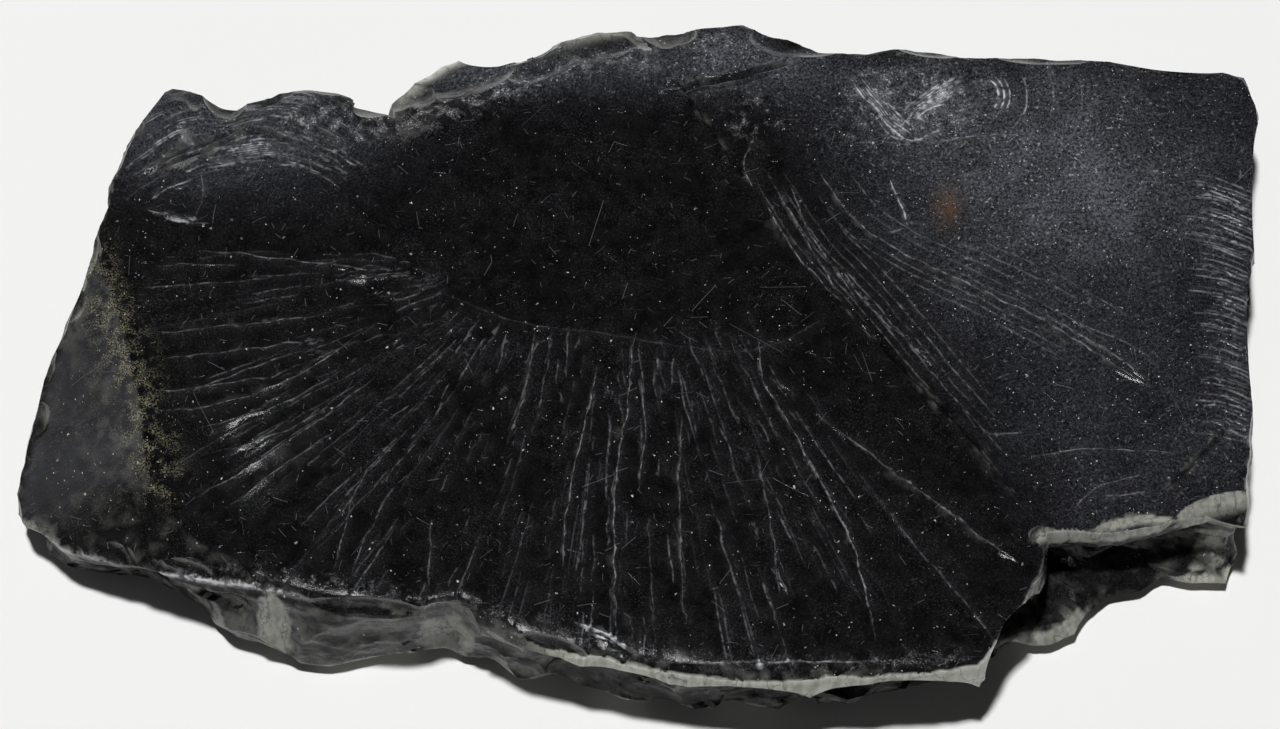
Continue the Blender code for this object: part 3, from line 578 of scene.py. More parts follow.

# (main line, distances beside it, height, how worn, drawn as a painted glint above 1.2)
BUNDLES = (
    (SHELL + ((20.4, -4.2), (26.0, -11.0)), (0.5, 0.9, 1.5, 2.0, 2.7, 3.4, 4.2), 0.06, 0.4),
    (SECOND_SHELL, (-0.5, -1.0, -1.6, 0.5, 1.2, 2.0, 2.9, 3.8), 0.06, 0.35),
    (SCUFF_LEFT, (-0.7, -0.5, -0.3, -0.15, 0.15, 0.3, 0.45, 0.6, 0.8), 0.06, 1.8),
    (SCUFF_RIGHT, (-0.45, -0.25, 0.15, 0.3, 0.5, 0.7, 0.9, 1.15), 0.06, 1.5),
)


def scattered_hackles(pick):
    """Short low hackles all over the fan, most of them hardly worn."""
    crests = []
    for _ in range(420):
        angle = math.radians(pick.uniform(172.0, 306.0))
        start = pick.uniform(0.5, 1.6)
        end = start + 0.06 + 0.34 * pick.random() ** 2
        height = pick.uniform(0.03, 0.13)
        path = tuple((x + pick.uniform(-0.12, 0.12), y + pick.uniform(-0.12, 0.12))
                     for x, y in fan_path(angle, start, end, 4))
        reach = pick.uniform(0.3, 0.7)
        crests.append((height, 0.12, reach, 0.03 + 0.4 * pick.random() ** 2.5, path))
    return crests


def comb(pick):
    """Short close crests that run out over the right edge."""
    crests = []
    for number in range(60):
        y = 13.5 - 0.34 * number + pick.uniform(-0.15, 0.15)
        x = pick.uniform(39.6, 42.0)
        wear = 0.25 + 0.75 * pick.random() ** 2
        line = ((x, y), (0.5 * x + 21.5, y - 0.1), (43.4, y - 0.6), (45.6, y - 1.6))
        crests.append((pick.uniform(0.05, 0.14), 0.12, 0.3, wear, line))
    return crests


pick = random.Random(7)
small_crests = scattered_hackles(pick)
for points, gaps, height, wear in BUNDLES:
    small_crests += bundle(points, gaps, height, wear, pick)
small_crests += comb(pick)
print(len(small_crests), "small hackles")

# %% [markdown]
# ## Ripples and glints
#
# A blow leaves rings round the point that it struck, and the lumps at the back left carry many of
# them. Each ring is an arc of a circle, so a centre, a radius and two angles are all it needs. The
# last few crests are short and close, and drawn very pale as painted glints where the stone flashes.

# %% Ripples and glints
# (radius, first angle, last angle, how worn, drawn as a painted glint above 1.2)
RIPPLES = (
    (1.5, -45, 60, 2.0), (1.9, -35, 50, 1.9), (2.3, -30, 40, 1.3), (3.6, -50, 30, 1.0),
    (5.5, -30, 25, 0.35), (5.8, 5, 30, 0.35), (7.6, -40, 10, 0.3),
)
RIPPLE_CENTRE = (25.3, 20.2)
LUMP_CENTRE = (-28.5, 3.0)


def arc(centre, radius, first, last, count):
    """Points of an arc from one compass angle to another."""
    sweep = np.radians(np.linspace(first, last, count))
    return tuple(zip(centre[0] + radius * np.cos(sweep), centre[1] + radius * np.sin(sweep)))


def lump_arcs(pick):
    """Ripples over the lumps at the back left, as parts of wide rings."""
    crests = []
    for _ in range(90):
        radius, first = pick.uniform(11.0, 17.5), pick.uniform(52.0, 122.0)
        line = arc(LUMP_CENTRE, radius, first + pick.uniform(6.0, 20.0), first, 4)
        height = pick.uniform(0.05, 0.18)
        crests.append((height, 0.12, 0.4, 0.1 + 0.95 * pick.random() ** 2, line))
    return crests


def glints(pick):
    """Short crests drawn as painted glints where the lumps flash."""
    crests = []
    for row in range(7):
        start = (-30.9 + 0.25 * row, 16.15 - 0.17 * row)
        end = (-26.9 + 0.1 * row, 16.0 - 0.15 * row)
        middle = ((start[0] + end[0]) / 2, start[1] - 0.05)
        crests.append((0.05, 0.1, 0.2, pick.uniform(0.8, 1.7), (start, middle, end)))
    for row in range(3):
        line = ((-34.7, 10.6 - 0.16 * row), (-33.4, 10.1 - 0.16 * row), (-32.1, 10.0 - 0.1 * row))
        crests.append((0.06, 0.12, 0.3, 1.5, line))
    return crests


for radius, first, last, wear in RIPPLES:
    small_crests.append((0.06, 0.12, 0.4, wear, arc(RIPPLE_CENTRE, radius, last, first, 5)))
small_crests += lump_arcs(pick) + glints(pick)
ALL_CRESTS = list(CRESTS) + small_crests
print(len(ALL_CRESTS), "crests in all")

# %% [markdown]
# ## Height of one form
#
# A swell is a bell curve, a crest is a saw tooth that fades out at both its ends, and a fold drops
# away with distance until it levels off. Each is a small function of the place, which could be
# sculpted instead, but then its numbers couldn't be changed later.


# %% Height of one form
def blobs(x, y, spots):
    """Sum of round swells, each given as (x, y, reach, amount)."""
    total = np.zeros(len(x))
    for centre_x, centre_y, reach, amount in spots:
        total = total + amount * np.exp(-((x - centre_x) ** 2 + (y - centre_y) ** 2) / reach ** 2)
    return total


def crest_height(places, line, height, steep, reach):
    """Saw-tooth ridge along a line, fading out at both its ends."""
    signed, along = side_of_line(places, line)
    taper = np.minimum(1.0, 3.2 * np.minimum(along, 1.0 - along)) ** 0.8
    left = np.exp(-np.abs(signed) / reach)
    right = np.clip(1.0 + signed / steep, 0.0, 1.0)
    return height * taper * np.where(signed >= 0, left, right)


def fold_drop(places, fold):
    """Drop of the face beyond a fold line, growing with distance until its reach."""
    slope, reach, points = fold
    signed, _ = side_of_line(places, bend(points, 0.8))
    return slope * reach * (1.0 - np.exp(-np.clip(signed, 0.0, None) / reach))


trial_line = np.array(((0.0, 0.0), (10.0, 0.0)))
trial = crest_height(np.array(((5.0, 1.0), (5.0, -0.1))), trial_line, 1.0, 0.4, 2.0)
print("height on the long and the steep flank of a crest", trial.round(2))

# %% [markdown]
# ## Height of the broad face
#
# The face is a sum: the slab's height, a slight tilt, a rounded rim, and then every swell, fold,
# crest and crack. A displacement picture could hold the same relief, but a sum of small functions
# can be asked for the height at any point, so the triangles can be put where the relief needs them.

# %% Height of the broad face
# Where the rim is rounded over most: (x, y, reach, amount)
ROUNDED = (
    (2.0, -24.0, 7.0, 1.0), (14.0, -25.0, 9.0, 1.0), (-30.0, -17.8, 7.0, 0.8), (-18.0, -20.0, 6.0, 0.5),
)


def crest_lines():
    """Each crest with its line bent and shaken, lower and sharper than the coarse solid draws it."""
    lines = []
    for height, steep, reach, wear, points in ALL_CRESTS:
        line = waver(bend(points, 0.4), min(0.2, 0.4 * height + 0.08), 1.3)
        lines.append((line, 0.6 * height, 0.6 * steep + 0.04, 0.8 * reach, wear))
    return lines


CREST_LINES = crest_lines()
GROOVE_LINES = [(waver(bend(points, 0.3), 0.12, 1.1), depth, width) for depth, width, points in GROOVES]


def face_height(places):
    """Height of the broad face over plan places."""
    x, y = places[:, 0], places[:, 1]
    height = SLAB_HEIGHT - 0.03 * np.clip(-18.0 - x, 0.0, None)
    height = height - 0.004 * np.clip(-12.0 - y, 0.0, None) ** 2
    angles, reach = polar(places)
    inward = np.clip(outline_reach(RIM, angles) - reach, 0.0, None)
    height = height - (0.16 + 0.4 * blobs(x, y, ROUNDED)) * np.exp(-inward / 0.55)
    for centre_x, centre_y, reach_x, reach_y, swell in SWELLS:
        away = ((x - centre_x) / reach_x) ** 2 + ((y - centre_y) / reach_y) ** 2
        height = height + swell * np.exp(-away)
    for fold in FOLDS:
        height = height - fold_drop(places, fold)
    for line, rise, steep, reach, _ in CREST_LINES:
        close = near_line(places, line, 4.0 * reach)
        height[close] += crest_height(places[close], line, rise, steep, reach)
    for line, depth, width in GROOVE_LINES:
        close = near_line(places, line, 4.0 * width)
        signed, along = side_of_line(places[close], line)
        taper = np.minimum(1.0, 4.0 * np.minimum(along, 1.0 - along))
        height[close] -= depth * taper * np.exp(-(signed / width) ** 2)
    return height


sample = face_height(np.array(((0.0, 0.0), (30.0, 10.0), (-40.0, -8.0))))
print("height at three places", sample.round(2))

# %% [markdown]
# ## Lines that the mesh follows
#
# The face is a height field over a flat triangulation. Delaunay triangulation with fixed edges lets
# the crests and their feet be real edges of the mesh, and fills the rest with staggered points.
# That keeps a crest sharp with far fewer triangles than an even grid would need. The rim is broken
# in small nicks first, and rows of extra points are set close beside crests and cracks.


# %% Rim and fixed lines
FACE_SPACING = 0.46
RIM_SPACING = 0.34


def ragged_rim(spacing):
    """The rim with extra points and small nicks, moved only towards or away from the heart."""
    points = []
    for first, second in zip(RIM, RIM[1:] + RIM[:1]):
        first = np.array(first)
        side = np.array(second) - first
        count = max(1, math.ceil(np.hypot(*side) / spacing))
        points += [first + side * step / count for step in range(count)]
    points = np.array(points)
    nicks = np.array([noise.fractal((x / 3.0, y / 3.0, 5.0), 0.8, 2.0, 4) for x, y in points])
    reach = np.hypot(*(points - HEART).T)
    return HEART + (points - HEART) * (1.0 + 0.22 * nicks / reach)[:, None]


def inside_rim(line, rim, margin):
    """Points of a line that stay inside the rim by a margin."""
    angles, reach = polar(line)
    return line[reach < outline_reach(rim, angles) - margin]


def fixed_lines(rim):
    """Crests, the feet of their steep flanks, the folds and the cracks."""
    lines = []
    for line, _, steep, _, _ in CREST_LINES:
        lines += [line, offset_line(line, steep)[1:-1]]
    lines += [bend(points, 0.6) for _, _, points in FOLDS]
    lines += [line for line, _, _ in GROOVE_LINES]
    lines = [inside_rim(line, rim, 0.2) for line in lines]
    return [line for line in lines if len(line) > 1]


def extra_points(rim):
    """Rows of points close beside the crests and cracks and just inside the rim."""
    beside = [offset_line(line, -0.07) for line, *_ in CREST_LINES]
    beside += [offset_line(line, 0.07) for line, _, steep, *_ in CREST_LINES if steep > 0.15]
    beside += [offset_line(line, aside * width) for line, _, width in GROOVE_LINES
               for aside in (-1.6, -0.8, 0.8, 1.6)]
    rows = [inside_rim(line, rim, 0.25) for line in beside]
    angles, reach = polar(rim)
    rays = np.column_stack((np.cos(angles), np.sin(angles)))
    rows += [HEART + rays * (reach - inset)[:, None] for inset in (0.2, 0.45, 0.75)]
    return np.vstack(rows)


broken_rim = ragged_rim(RIM_SPACING)
mesh_lines = fixed_lines(broken_rim)
print("rim of", len(broken_rim), "points,", len(mesh_lines), "fixed lines")

# %% [markdown]
# ## The broad face
#
# Staggered points fill what the lines leave free. Rows of a plain grid would show in the
# reflections of so glossy a face, so each point is also nudged off its row. The flat triangles are
# then lifted to their heights.


# %% Triangulate the face
def fill_points(rim, lines):
    """Staggered points inside the rim, none too close to a fixed line."""
    rows = np.arange(-27.0, 28.0, FACE_SPACING * 0.866)
    columns = np.arange(-47.0, 48.0, FACE_SPACING)
    across, down = np.meshgrid(columns, rows)
    across = across + FACE_SPACING / 2 * (np.arange(len(rows)) % 2)[:, None]
    places = np.column_stack((across.ravel(), down.ravel()))
    places = places + 0.2 * FACE_SPACING * np.sin(places[:, ::-1] * (22.9, 17.3))
    angles, reach = polar(places)
    places = places[reach < outline_reach(rim, angles) - 0.9]
    keep = np.ones(len(places), bool)
    for line in lines:
        close = near_line(places, line, 0.4 * FACE_SPACING)
        signed, _ = side_of_line(places[close], line)
        keep[close] &= np.abs(signed) > 0.35 * FACE_SPACING
    return places[keep]


def add_face(mesh, rim, lines):
    """Triangulate the face along its fixed lines and lift it to height."""
    places = [Vector(place) for place in rim]
    edges = []
    for line in lines:
        first = len(places)
        places += [Vector(place) for place in line]
        edges += [(index, index + 1) for index in range(first, len(places) - 1)]
    places += [Vector(place) for place in extra_points(rim)]
    places += [Vector(place) for place in fill_points(rim, lines)]
    flat, _, faces, *_ = delaunay_2d_cdt(places, edges, [list(range(len(rim)))], 1, 0.01)
    heights = face_height(np.array([tuple(place) for place in flat]))
    verts = [mesh.verts.new((place.x, place.y, height)) for place, height in zip(flat, heights)]
    for face in faces:
        mesh.faces.new([verts[index] for index in face])
    loose = [vert for vert in verts if not vert.link_faces]
    bmesh.ops.delete(mesh, geom=loose, context="VERTS")


stone_mesh = bmesh.new()
add_face(stone_mesh, broken_rim, mesh_lines)
print("face has", len(stone_mesh.faces), "triangles")

# %% [markdown]
# ## Rings of the broken side
#
# The side hangs from the rim as rings of points, each at its own share of the height. Between rim
# and foot it steps out early where a thin ledge stands proud, or late where there is a shelf close
# to the ground, and it is hollowed where the slab overhangs. Sculpting could do this too, but rings
# keep the walls closed whatever the numbers are.


# %% Rings of the side
def side_levels(rim, angles):
    """Rings of the side: distance from the heart, height, and roughness of the rock there."""
    x, y, lift = rim.T
    _, top = polar(rim[:, :2])
    foot = outline_reach(FOOT, angles)
    hollow = blobs(x, y, HOLLOWS)
    late = 1.0 + blobs(x, y, STEPS_OUT)
    drop = SHOULDER_DROP + blobs(x, y, BANDS)

    def reach(level, sink):
        out = np.clip((1.0 - level) / 0.82, 0.0, 1.0) ** late
        return top + (foot - top) * out - sink * hollow

    shoulder = np.maximum(lift - drop, 0.62 * lift)
    rings = (
        (top, lift, 0.0),
        (reach(0.86, -0.1) + SHOULDER_OUT, shoulder, 0.2),
        (reach(0.66, 0.9), 0.92 * shoulder - 0.05 * lift, 0.8),
        (reach(0.48, 1.0), 0.46 * lift, 1.0),
        (reach(0.33, 0.8), 0.32 * lift, 1.0),
        (reach(0.25, 0.1), 0.24 * lift, 0.8),
        (reach(0.17, 0.0), 0.15 * lift, 0.6),
        (foot - 0.5, 0.09 * lift, 0.5),
        (foot - SOLE_INSET, 0.045 * lift, 0.5),
        (foot - PATCH_INSET, 0.0 * lift, 0.8),
    )
    return [np.column_stack((ring, height, np.full(len(ring), rough))) for ring, height, rough in rings]


def finer_levels(levels, spacing):
    """Put extra rings between the levels, straight across the first band and curved below it."""
    rings = []
    for index in range(1, len(levels)):
        start, end = levels[index - 1], levels[index]
        before = levels[max(index - 2, 0)]
        after = levels[min(index + 1, len(levels) - 1)]
        gap = np.hypot(*(end - start)[:, :2].T).max()
        count = max(2, math.ceil(gap / spacing)) if index < 8 else 3
        for t in np.arange(1, count + 1) / count:
            straight = start + (end - start) * t
            curve = 2 * start + (end - before) * t + (2 * before - 5 * start + 4 * end - after) * t * t
            curve = (curve + (3 * start - before - 3 * end + after) * t ** 3) / 2
            rings.append(straight if index < 3 else 0.5 * (straight + curve))
    rings[-1][:, 1] = 0.0
    return rings


print("shoulder", SHOULDER_DROP, "mm below the rim and", SHOULDER_OUT, "mm outside it")

# %% [markdown]
# ## Dishes of the broken side
#
# Smooth rings would look cast. Rock that breaks like glass loses it in flakes, and their scars are
# shallow dishes that meet in sharp ridges, so each point is pushed by the distance to the nearest
# of many scattered dish centres. Plain noise is no use here: it has neither dishes nor ridges.


# %% Dishes
LARGE_DISH = 4.2                      # size of a large flake scar
SMALL_DISH = 1.6


def dish_centres(size, seed):
    """Seeded dish centres near the side, each with its own slant."""
    pick = np.random.default_rng(seed)
    low, high = np.array((-48.0, -30.0, -2.0)), np.array((48.0, 30.0, 14.0))
    centres = pick.uniform(low, high, (int(np.prod((high - low) / size)), 3))
    angles, reach = polar(centres[:, :2])
    centres = centres[np.abs(outline_reach(RIM, angles) - reach) < 4.0 + size]
    tree = KDTree(len(centres))
    for index, centre in enumerate(centres):
        tree.insert(centre, index)
    tree.balance()
    return tree, [Vector(slant) for slant in pick.normal(0.0, 0.3, (len(centres), 3))]


def dishes(places, size, centres):
    """Height over shallow dishes that meet in sharp ridges."""
    tree, slants = centres
    heights = []
    for place in map(Vector, places):
        rivals = []
        for centre, index, _ in tree.find_n(place, 7):
            away = place - centre
            rivals.append(0.45 * away.length_squared / size + away.dot(slants[index]))
        heights.append(min(rivals))
    return np.array(heights)


LARGE_DISHES = dish_centres(LARGE_DISH, 5)
SMALL_DISHES = dish_centres(SMALL_DISH, 6)


def side_push(places, rough):
    """How far the rock of the side stands out or in."""
    large = dishes(places, LARGE_DISH, LARGE_DISHES)
    small = dishes(places, SMALL_DISH, SMALL_DISHES)
    grain = np.array([noise.fractal(place * 1.4, 0.9, 2.1, 3) for place in map(Vector, places)])
    return rough * (0.8 * (large - large.mean()) + 0.3 * (small - small.mean()) + 0.05 * grain)


print(len(LARGE_DISHES[1]), "large dishes,", len(SMALL_DISHES[1]), "small ones")

# %% [markdown]
# ## Hang the side
#
# Each ring is joined to the one above it, and the last ring is filled as the flat patch that the
# stone rests on. The result has to be a closed shell, because scars will be cut from it.


# %% Build the side
SIDE_SPACING = 0.4


def add_side(mesh):
    """Hang the side from the rim and close the underside with a flat patch."""
    edges = [edge for edge in mesh.edges if edge.is_boundary]
    verts = list({vert for edge in edges for vert in edge.verts})
    angles, _ = polar([vert.co[:2] for vert in verts])
    loop = [verts[index] for index in np.argsort(angles)]
    angles = np.sort(angles)
    rim = np.array([vert.co[:] for vert in loop])
    rings = [rim]
    rays = np.column_stack((np.cos(angles), np.sin(angles)))
    for ring in finer_levels(side_levels(rim, angles), SIDE_SPACING):
        reach, height, rough = ring.T
        places = np.column_stack((rays * reach[:, None] + HEART, height))
        places[:, :2] += rays * side_push(places, rough)[:, None]
        rings.append(places)
        lower = [mesh.verts.new(place) for place in places]
        for index in range(len(loop)):
            after = (index + 1) % len(loop)
            mesh.faces.new((loop[index], lower[index], lower[after], loop[after]))
        loop = lower
    patch = mesh.faces.new(loop)
    bmesh.ops.triangulate(mesh, faces=[patch])
    bmesh.ops.triangulate(mesh, faces=mesh.faces[:])
    bmesh.ops.recalc_face_normals(mesh, faces=mesh.faces[:])
    return rings


rings = add_side(stone_mesh)
RIM_LOOP = rings[0]
SIDE_LOOPS = np.vstack(rings[1:])
print("slab has", len(stone_mesh.faces), "triangles")

# %% [markdown]
# ## Scars: where they are
#
# A flake that breaks off glassy rock leaves a shallow dish with faint rings in it, as a shell has.
# Each scar is given by a spot on the stone, the way it faces, how far it leans up, and its half
# length, half width and depth. The large scars are this stone's own, so they are listed.

# %% Large scars
# (x, y, z, compass angle it faces, lean in degrees, half length, half width, depth)
CHIPS = (
    (-16.2, 20.6, 8.3, 122.0, 60.0, 2.8, 1.5, 0.4), (-12.0, 21.8, 8.1, 112.0, 62.0, 3.2, 1.7, 0.4),
    (-6.6, 22.6, 8.6, 116.0, 60.0, 2.6, 1.4, 0.4), (-2.6, 24.0, 8.5, 102.0, 60.0, 3.2, 1.5, 0.4),
    (2.0, 25.0, 8.6, 78.0, 50.0, 1.8, 1.2, 0.4), (13.0, 23.9, 9.0, 92.0, 44.0, 3.6, 1.8, 0.6),
    (22.0, 23.8, 9.0, 84.0, 40.0, 3.4, 2.0, 0.6), (-30.2, 19.4, 8.8, 100.0, 40.0, 1.5, 2.2, 1.0),
    (-36.4, 19.0, 7.2, 145.0, 16.0, 2.4, 2.0, 0.2),
    (-40.2, 7.4, 5.6, 162.0, 6.0, 4.0, 2.2, 0.5), (-43.8, -2.5, 3.4, 166.0, 2.0, 6.0, 2.4, 0.5),
    (-31.8, -18.6, 5.4, 253.0, 12.0, 4.2, 4.6, 0.4), (-25.9, -20.4, 5.6, 262.0, 12.0, 1.9, 5.4, 0.35),
    (-19.4, -20.2, 8.9, 266.0, 48.0, 5.2, 1.3, 0.7),
    (-13.4, -20.6, 5.6, 266.0, 14.0, 1.8, 4.4, 0.4),
    (-5.6, -23.1, 8.6, 250.0, 40.0, 2.6, 1.4, 0.5), (-1.0, -24.0, 5.2, 258.0, 0.0, 4.0, 2.4, 0.8),
    (7.2, -25.2, 5.4, 268.0, -6.0, 4.8, 2.4, 0.8), (18.6, -25.0, 5.0, 272.0, -8.0, 6.2, 3.2, 1.3),
    (26.4, -21.4, 6.2, 330.0, 6.0, 3.4, 3.2, 0.9), (36.0, -13.4, 8.8, 278.0, 44.0, 3.4, 1.2, 0.5),
    (41.6, -11.8, 8.8, 284.0, 52.0, 3.4, 2.2, 0.5), (42.2, -14.6, 5.0, 286.0, 30.0, 2.6, 2.0, 0.6),
    (44.5, -2.0, 5.6, 2.0, 4.0, 6.0, 3.4, 0.25), (45.6, 11.0, 6.0, 358.0, 10.0, 5.6, 3.2, 0.25),
    (38.6, 23.0, 6.0, 84.0, 12.0, 6.0, 3.2, 0.9), (30.0, 23.2, 8.8, 88.0, 46.0, 4.0, 1.2, 0.4),
    (-26.0, 20.6, 5.4, 96.0, 10.0, 5.0, 3.2, 0.8), (6.0, 26.2, 5.2, 90.0, 6.0, 5.6, 3.0, 0.9),
    (16.4, 24.0, 5.0, 88.0, 8.0, 4.6, 2.8, 0.8), (-8.6, 24.0, 4.6, 110.0, 20.0, 4.4, 2.2, 0.7),
    (33.0, -17.4, 3.0, 300.0, 62.0, 4.6, 2.6, 0.6), (40.2, -15.4, 3.4, 292.0, 56.0, 2.6, 1.6, 0.5),
)
print(len(CHIPS), "large scars")

# %% [markdown]
# ## Scars: the small ones
#
# Small flakes nibble the rim and the side by a seeded rule, because nobody would place a hundred
# and fifty chips by hand. Each faces outwards, give or take, so the rule asks the outline which way
# the side faces there. Walls that carry large scars already are left plain.


# %% Small scars
def outward(x, y):
    """Compass angle, in degrees, that the side faces at a place."""
    angles, _ = polar(((x, y),))
    angles = angles + np.array((-0.04, 0.04))
    ends = HEART + outline_reach(RIM, angles)[:, None] * np.column_stack((np.cos(angles), np.sin(angles)))
    along = ends[1] - ends[0]
    return math.degrees(math.atan2(-along[0], along[1]))


def small_scars(places, count, seed, sizes, tilts, depth):
    """Small scars at random ones of the given places, facing roughly outwards."""
    pick = random.Random(seed)
    scars = []
    for x, y, z in pick.sample(places, count):
        facing = outward(x, y) + pick.uniform(-12.0, 12.0)
        size = pick.uniform(*sizes)
        tilt = pick.uniform(*tilts)
        scars.append((x, y, z, facing, tilt, size, size * pick.uniform(0.35, 0.9), depth * size))
    return scars


def on_plain_side(place):
    """Whether a place is halfway up a wall that has no large listed scars."""
    x, y, z = place
    front_left = y < -15.0 and -34.0 < x < -12.0
    lower_right = y < -10.0 and x > 28.0
    return 2.5 < z < 5.5 and not front_left and not lower_right


rim_places = [tuple(place) for place in RIM_LOOP]
side_places = [tuple(place) for place in SIDE_LOOPS if on_plain_side(place)]
nibbles = small_scars(rim_places, 90, 11, (0.4, 1.2), (40.0, 70.0), 0.05)
flakes = small_scars(side_places, 56, 12, (1.0, 2.4), (-6.0, 26.0), 0.11)
ALL_SCARS = list(CHIPS) + flakes + nibbles
print(len(ALL_SCARS), "scars")

# %% [markdown]
# ## Scars: the balls that cut them
#
# Subtracting a squashed ball leaves just such a dish with a crisp edge. A scar can be so shallow
# that its ball would be thinner than the flake it should remove, and would leave a thin roof of
# rock outside it. So a shallow scar's ball is made thicker, moved out and spread sideways, until
# the part that dips into the stone has the wanted width and depth. The rings are a faint ripple in
# the ball, and a little noise keeps the dish from being too round.


# %% Balls
THINNEST_BALL = 1.2                   # half thickness of the ball of a wide scar
RING_CENTRE = (-0.8, 0.3)             # where the faint rings start, on a ball of radius 1
RING_HEIGHT = 0.006                   # as a share of the ball's radius
LUMP_HEIGHT = 0.03


def press_scar(mesh, scar, detail):
    """Add the squashed ball of one scar, with shell rings pressed into it."""
    x, y, z, facing, tilt, half_length, half_width, depth = scar
    ball = bmesh.ops.create_icosphere(mesh, subdivisions=detail, radius=1.0)["verts"]
    for vert in ball:
        far = math.hypot(vert.co.x - RING_CENTRE[0], vert.co.y - RING_CENTRE[1])
        ripple = math.sin(7.0 * far * (1.0 + 0.35 * far))
        lumpy = noise.noise(vert.co * 2.2 + Vector((x, y, z)))
        vert.co *= 1.0 + RING_HEIGHT * ripple + LUMP_HEIGHT * lumpy
    thick = max(3.0 * depth, min(THINNEST_BALL, 0.8 * half_length))
    spread = 1.0 / math.sqrt(1.0 - (1.0 - depth / thick) ** 2)
    size = Matrix.Diagonal((spread * half_length, spread * half_width, thick, 1.0))
    turn = Matrix.Rotation(math.radians(facing + 90.0), 4, "Z")
    lean = Matrix.Rotation(math.radians(90.0 - tilt), 4, "X")
    out = Matrix.Translation((0.0, 0.0, thick - depth))
    place = Matrix.Translation((x, y, z))
    bmesh.ops.transform(mesh, matrix=place @ turn @ lean @ out @ size, verts=ball)


print("the ball of a wide scar is at least", 2 * THINNEST_BALL, "mm thick")

# %% [markdown]
# ## Scars: balls in groups
#
# The balls could be subtracted one after another, but that would be one pass over a fine mesh for
# each scar. Balls that don't touch each other can be one cutter, so the scars are sorted into
# groups whose members lie well apart.


# %% Groups of balls
def apart(scar, others):
    """Whether a scar's ball is clear of the others."""
    for other in others:
        gap = math.dist(scar[:3], other[:3])
        if gap < 2.0 * (max(scar[5:]) + max(other[5:])) + 2.5 * (scar[7] + other[7]):
            return False
    return True


def in_groups(scars):
    """Sort scars into groups whose balls don't touch, so each group is one subtraction."""
    groups = []
    for scar in scars:
        for group in groups:
            if apart(scar, group):
                group.append(scar)
                break
        else:
            groups.append([scar])
    return groups


def make_cutter(group):
    """The balls of one group as one object, with more faces on the larger ones."""
    mesh = bmesh.new()
    for scar in group:
        press_scar(mesh, scar, 5 if scar[5] > 2.5 else 4 if scar[5] > 1.4 else 3)
    data = bpy.data.meshes.new("scars")
    mesh.to_mesh(data)
    mesh.free()
    cutter = bpy.data.objects.new("scars", data)
    bpy.context.scene.collection.objects.link(cutter)
    return cutter


groups = in_groups(ALL_SCARS)
cutters = [make_cutter(group) for group in groups]
print(len(cutters), "groups of balls that don't touch")

# %% [markdown]
# ## Scars: cutting them
#
# Each group is one Boolean modifier, and the manifold solver takes them all in a few seconds. Now
# and then a cut frees a crumb that hangs in the air, so only the largest part is kept.


# %% Cut the scars
def break_out(stone, cutters):
    """Subtract every cutter and keep the plain result."""
    for cutter in cutters:
        cut = stone.modifiers.new(cutter.name, "BOOLEAN")
        cut.operation = "DIFFERENCE"
        cut.solver = "MANIFOLD"
        cut.object = cutter
    graph = bpy.context.evaluated_depsgraph_get()
    data = bpy.data.meshes.new_from_object(stone.evaluated_get(graph))
    stone.modifiers.clear()
    stone.data = data
    for cutter in cutters:
        bpy.data.objects.remove(cutter, do_unlink=True)


def keep_largest(data):
    """Delete crumbs that a scar has cut free, and keep the stone itself."""
    mesh = bmesh.new()
    mesh.from_mesh(data)
    left = set(mesh.verts)
    lumps = []
    while left:
        lump, edge = set(), [left.pop()]
        while edge:
            vert = edge.pop()
            lump.add(vert)
            for link in vert.link_edges:
                other = link.other_vert(vert)
                if other in left:
                    left.remove(other)
                    edge.append(other)
        lumps.append(lump)
    lumps.sort(key=len)
    bmesh.ops.delete(mesh, geom=[vert for lump in lumps[:-1] for vert in lump], context="VERTS")
    mesh.to_mesh(data)
    mesh.free()
    return len(lumps) - 1


stone_data = bpy.data.meshes.new("stone")
stone_mesh.to_mesh(stone_data)
stone_mesh.free()
stone = bpy.data.objects.new("shungite_stone", stone_data)
bpy.context.scene.collection.objects.link(stone)
break_out(stone, cutters)
print("loose crumbs removed", keep_largest(stone.data))
triangles = sum(len(face.vertices) - 2 for face in stone.data.polygons)
print("stone has", triangles, "triangles after", len(ALL_SCARS), "scars")

# %% [markdown]
# ## Put the stone in its place
#
# The mesh was made in millimetres round its own centre. It is now scaled to metres and moved into
# the middle of the solid's box, in the mesh itself, so that the object stays at the origin. Edges
# are sharp wherever two faces meet at more than a set angle, so the dishes stay smooth while steps
# and chips stay crisp.


# %% Scale, place and shade
SHARP_ANGLE = math.radians(28.0)


def read(items, name):
    """One vector for each item of the mesh, as rows."""
    values = np.empty(len(items) * 3)
    items.foreach_get(name, values)
    return values.reshape(-1, 3)


lowest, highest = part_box(NODE)
spots = read(stone.data.vertices, "co")
facet_middles = read(stone.data.polygons, "center")
point_normals = np.array([vertex.normal[:] for vertex in stone.data.vertices])
middle = (spots.min(axis=0) + spots.max(axis=0)) / 2
shift = (np.array(lowest) + np.array(highest)) / 2 - MM * middle
shift[2] = -MM * spots[:, 2].min()
stone.data.vertices.foreach_set("co", (spots * MM + shift).ravel())
stone.data.shade_smooth()
stone.data.set_sharp_from_angle(angle=SHARP_ANGLE)
stone.data.update()
print("moved by mm", (shift / MM).round(2), "size mm", (spots.max(axis=0) - spots.min(axis=0)).round(2))
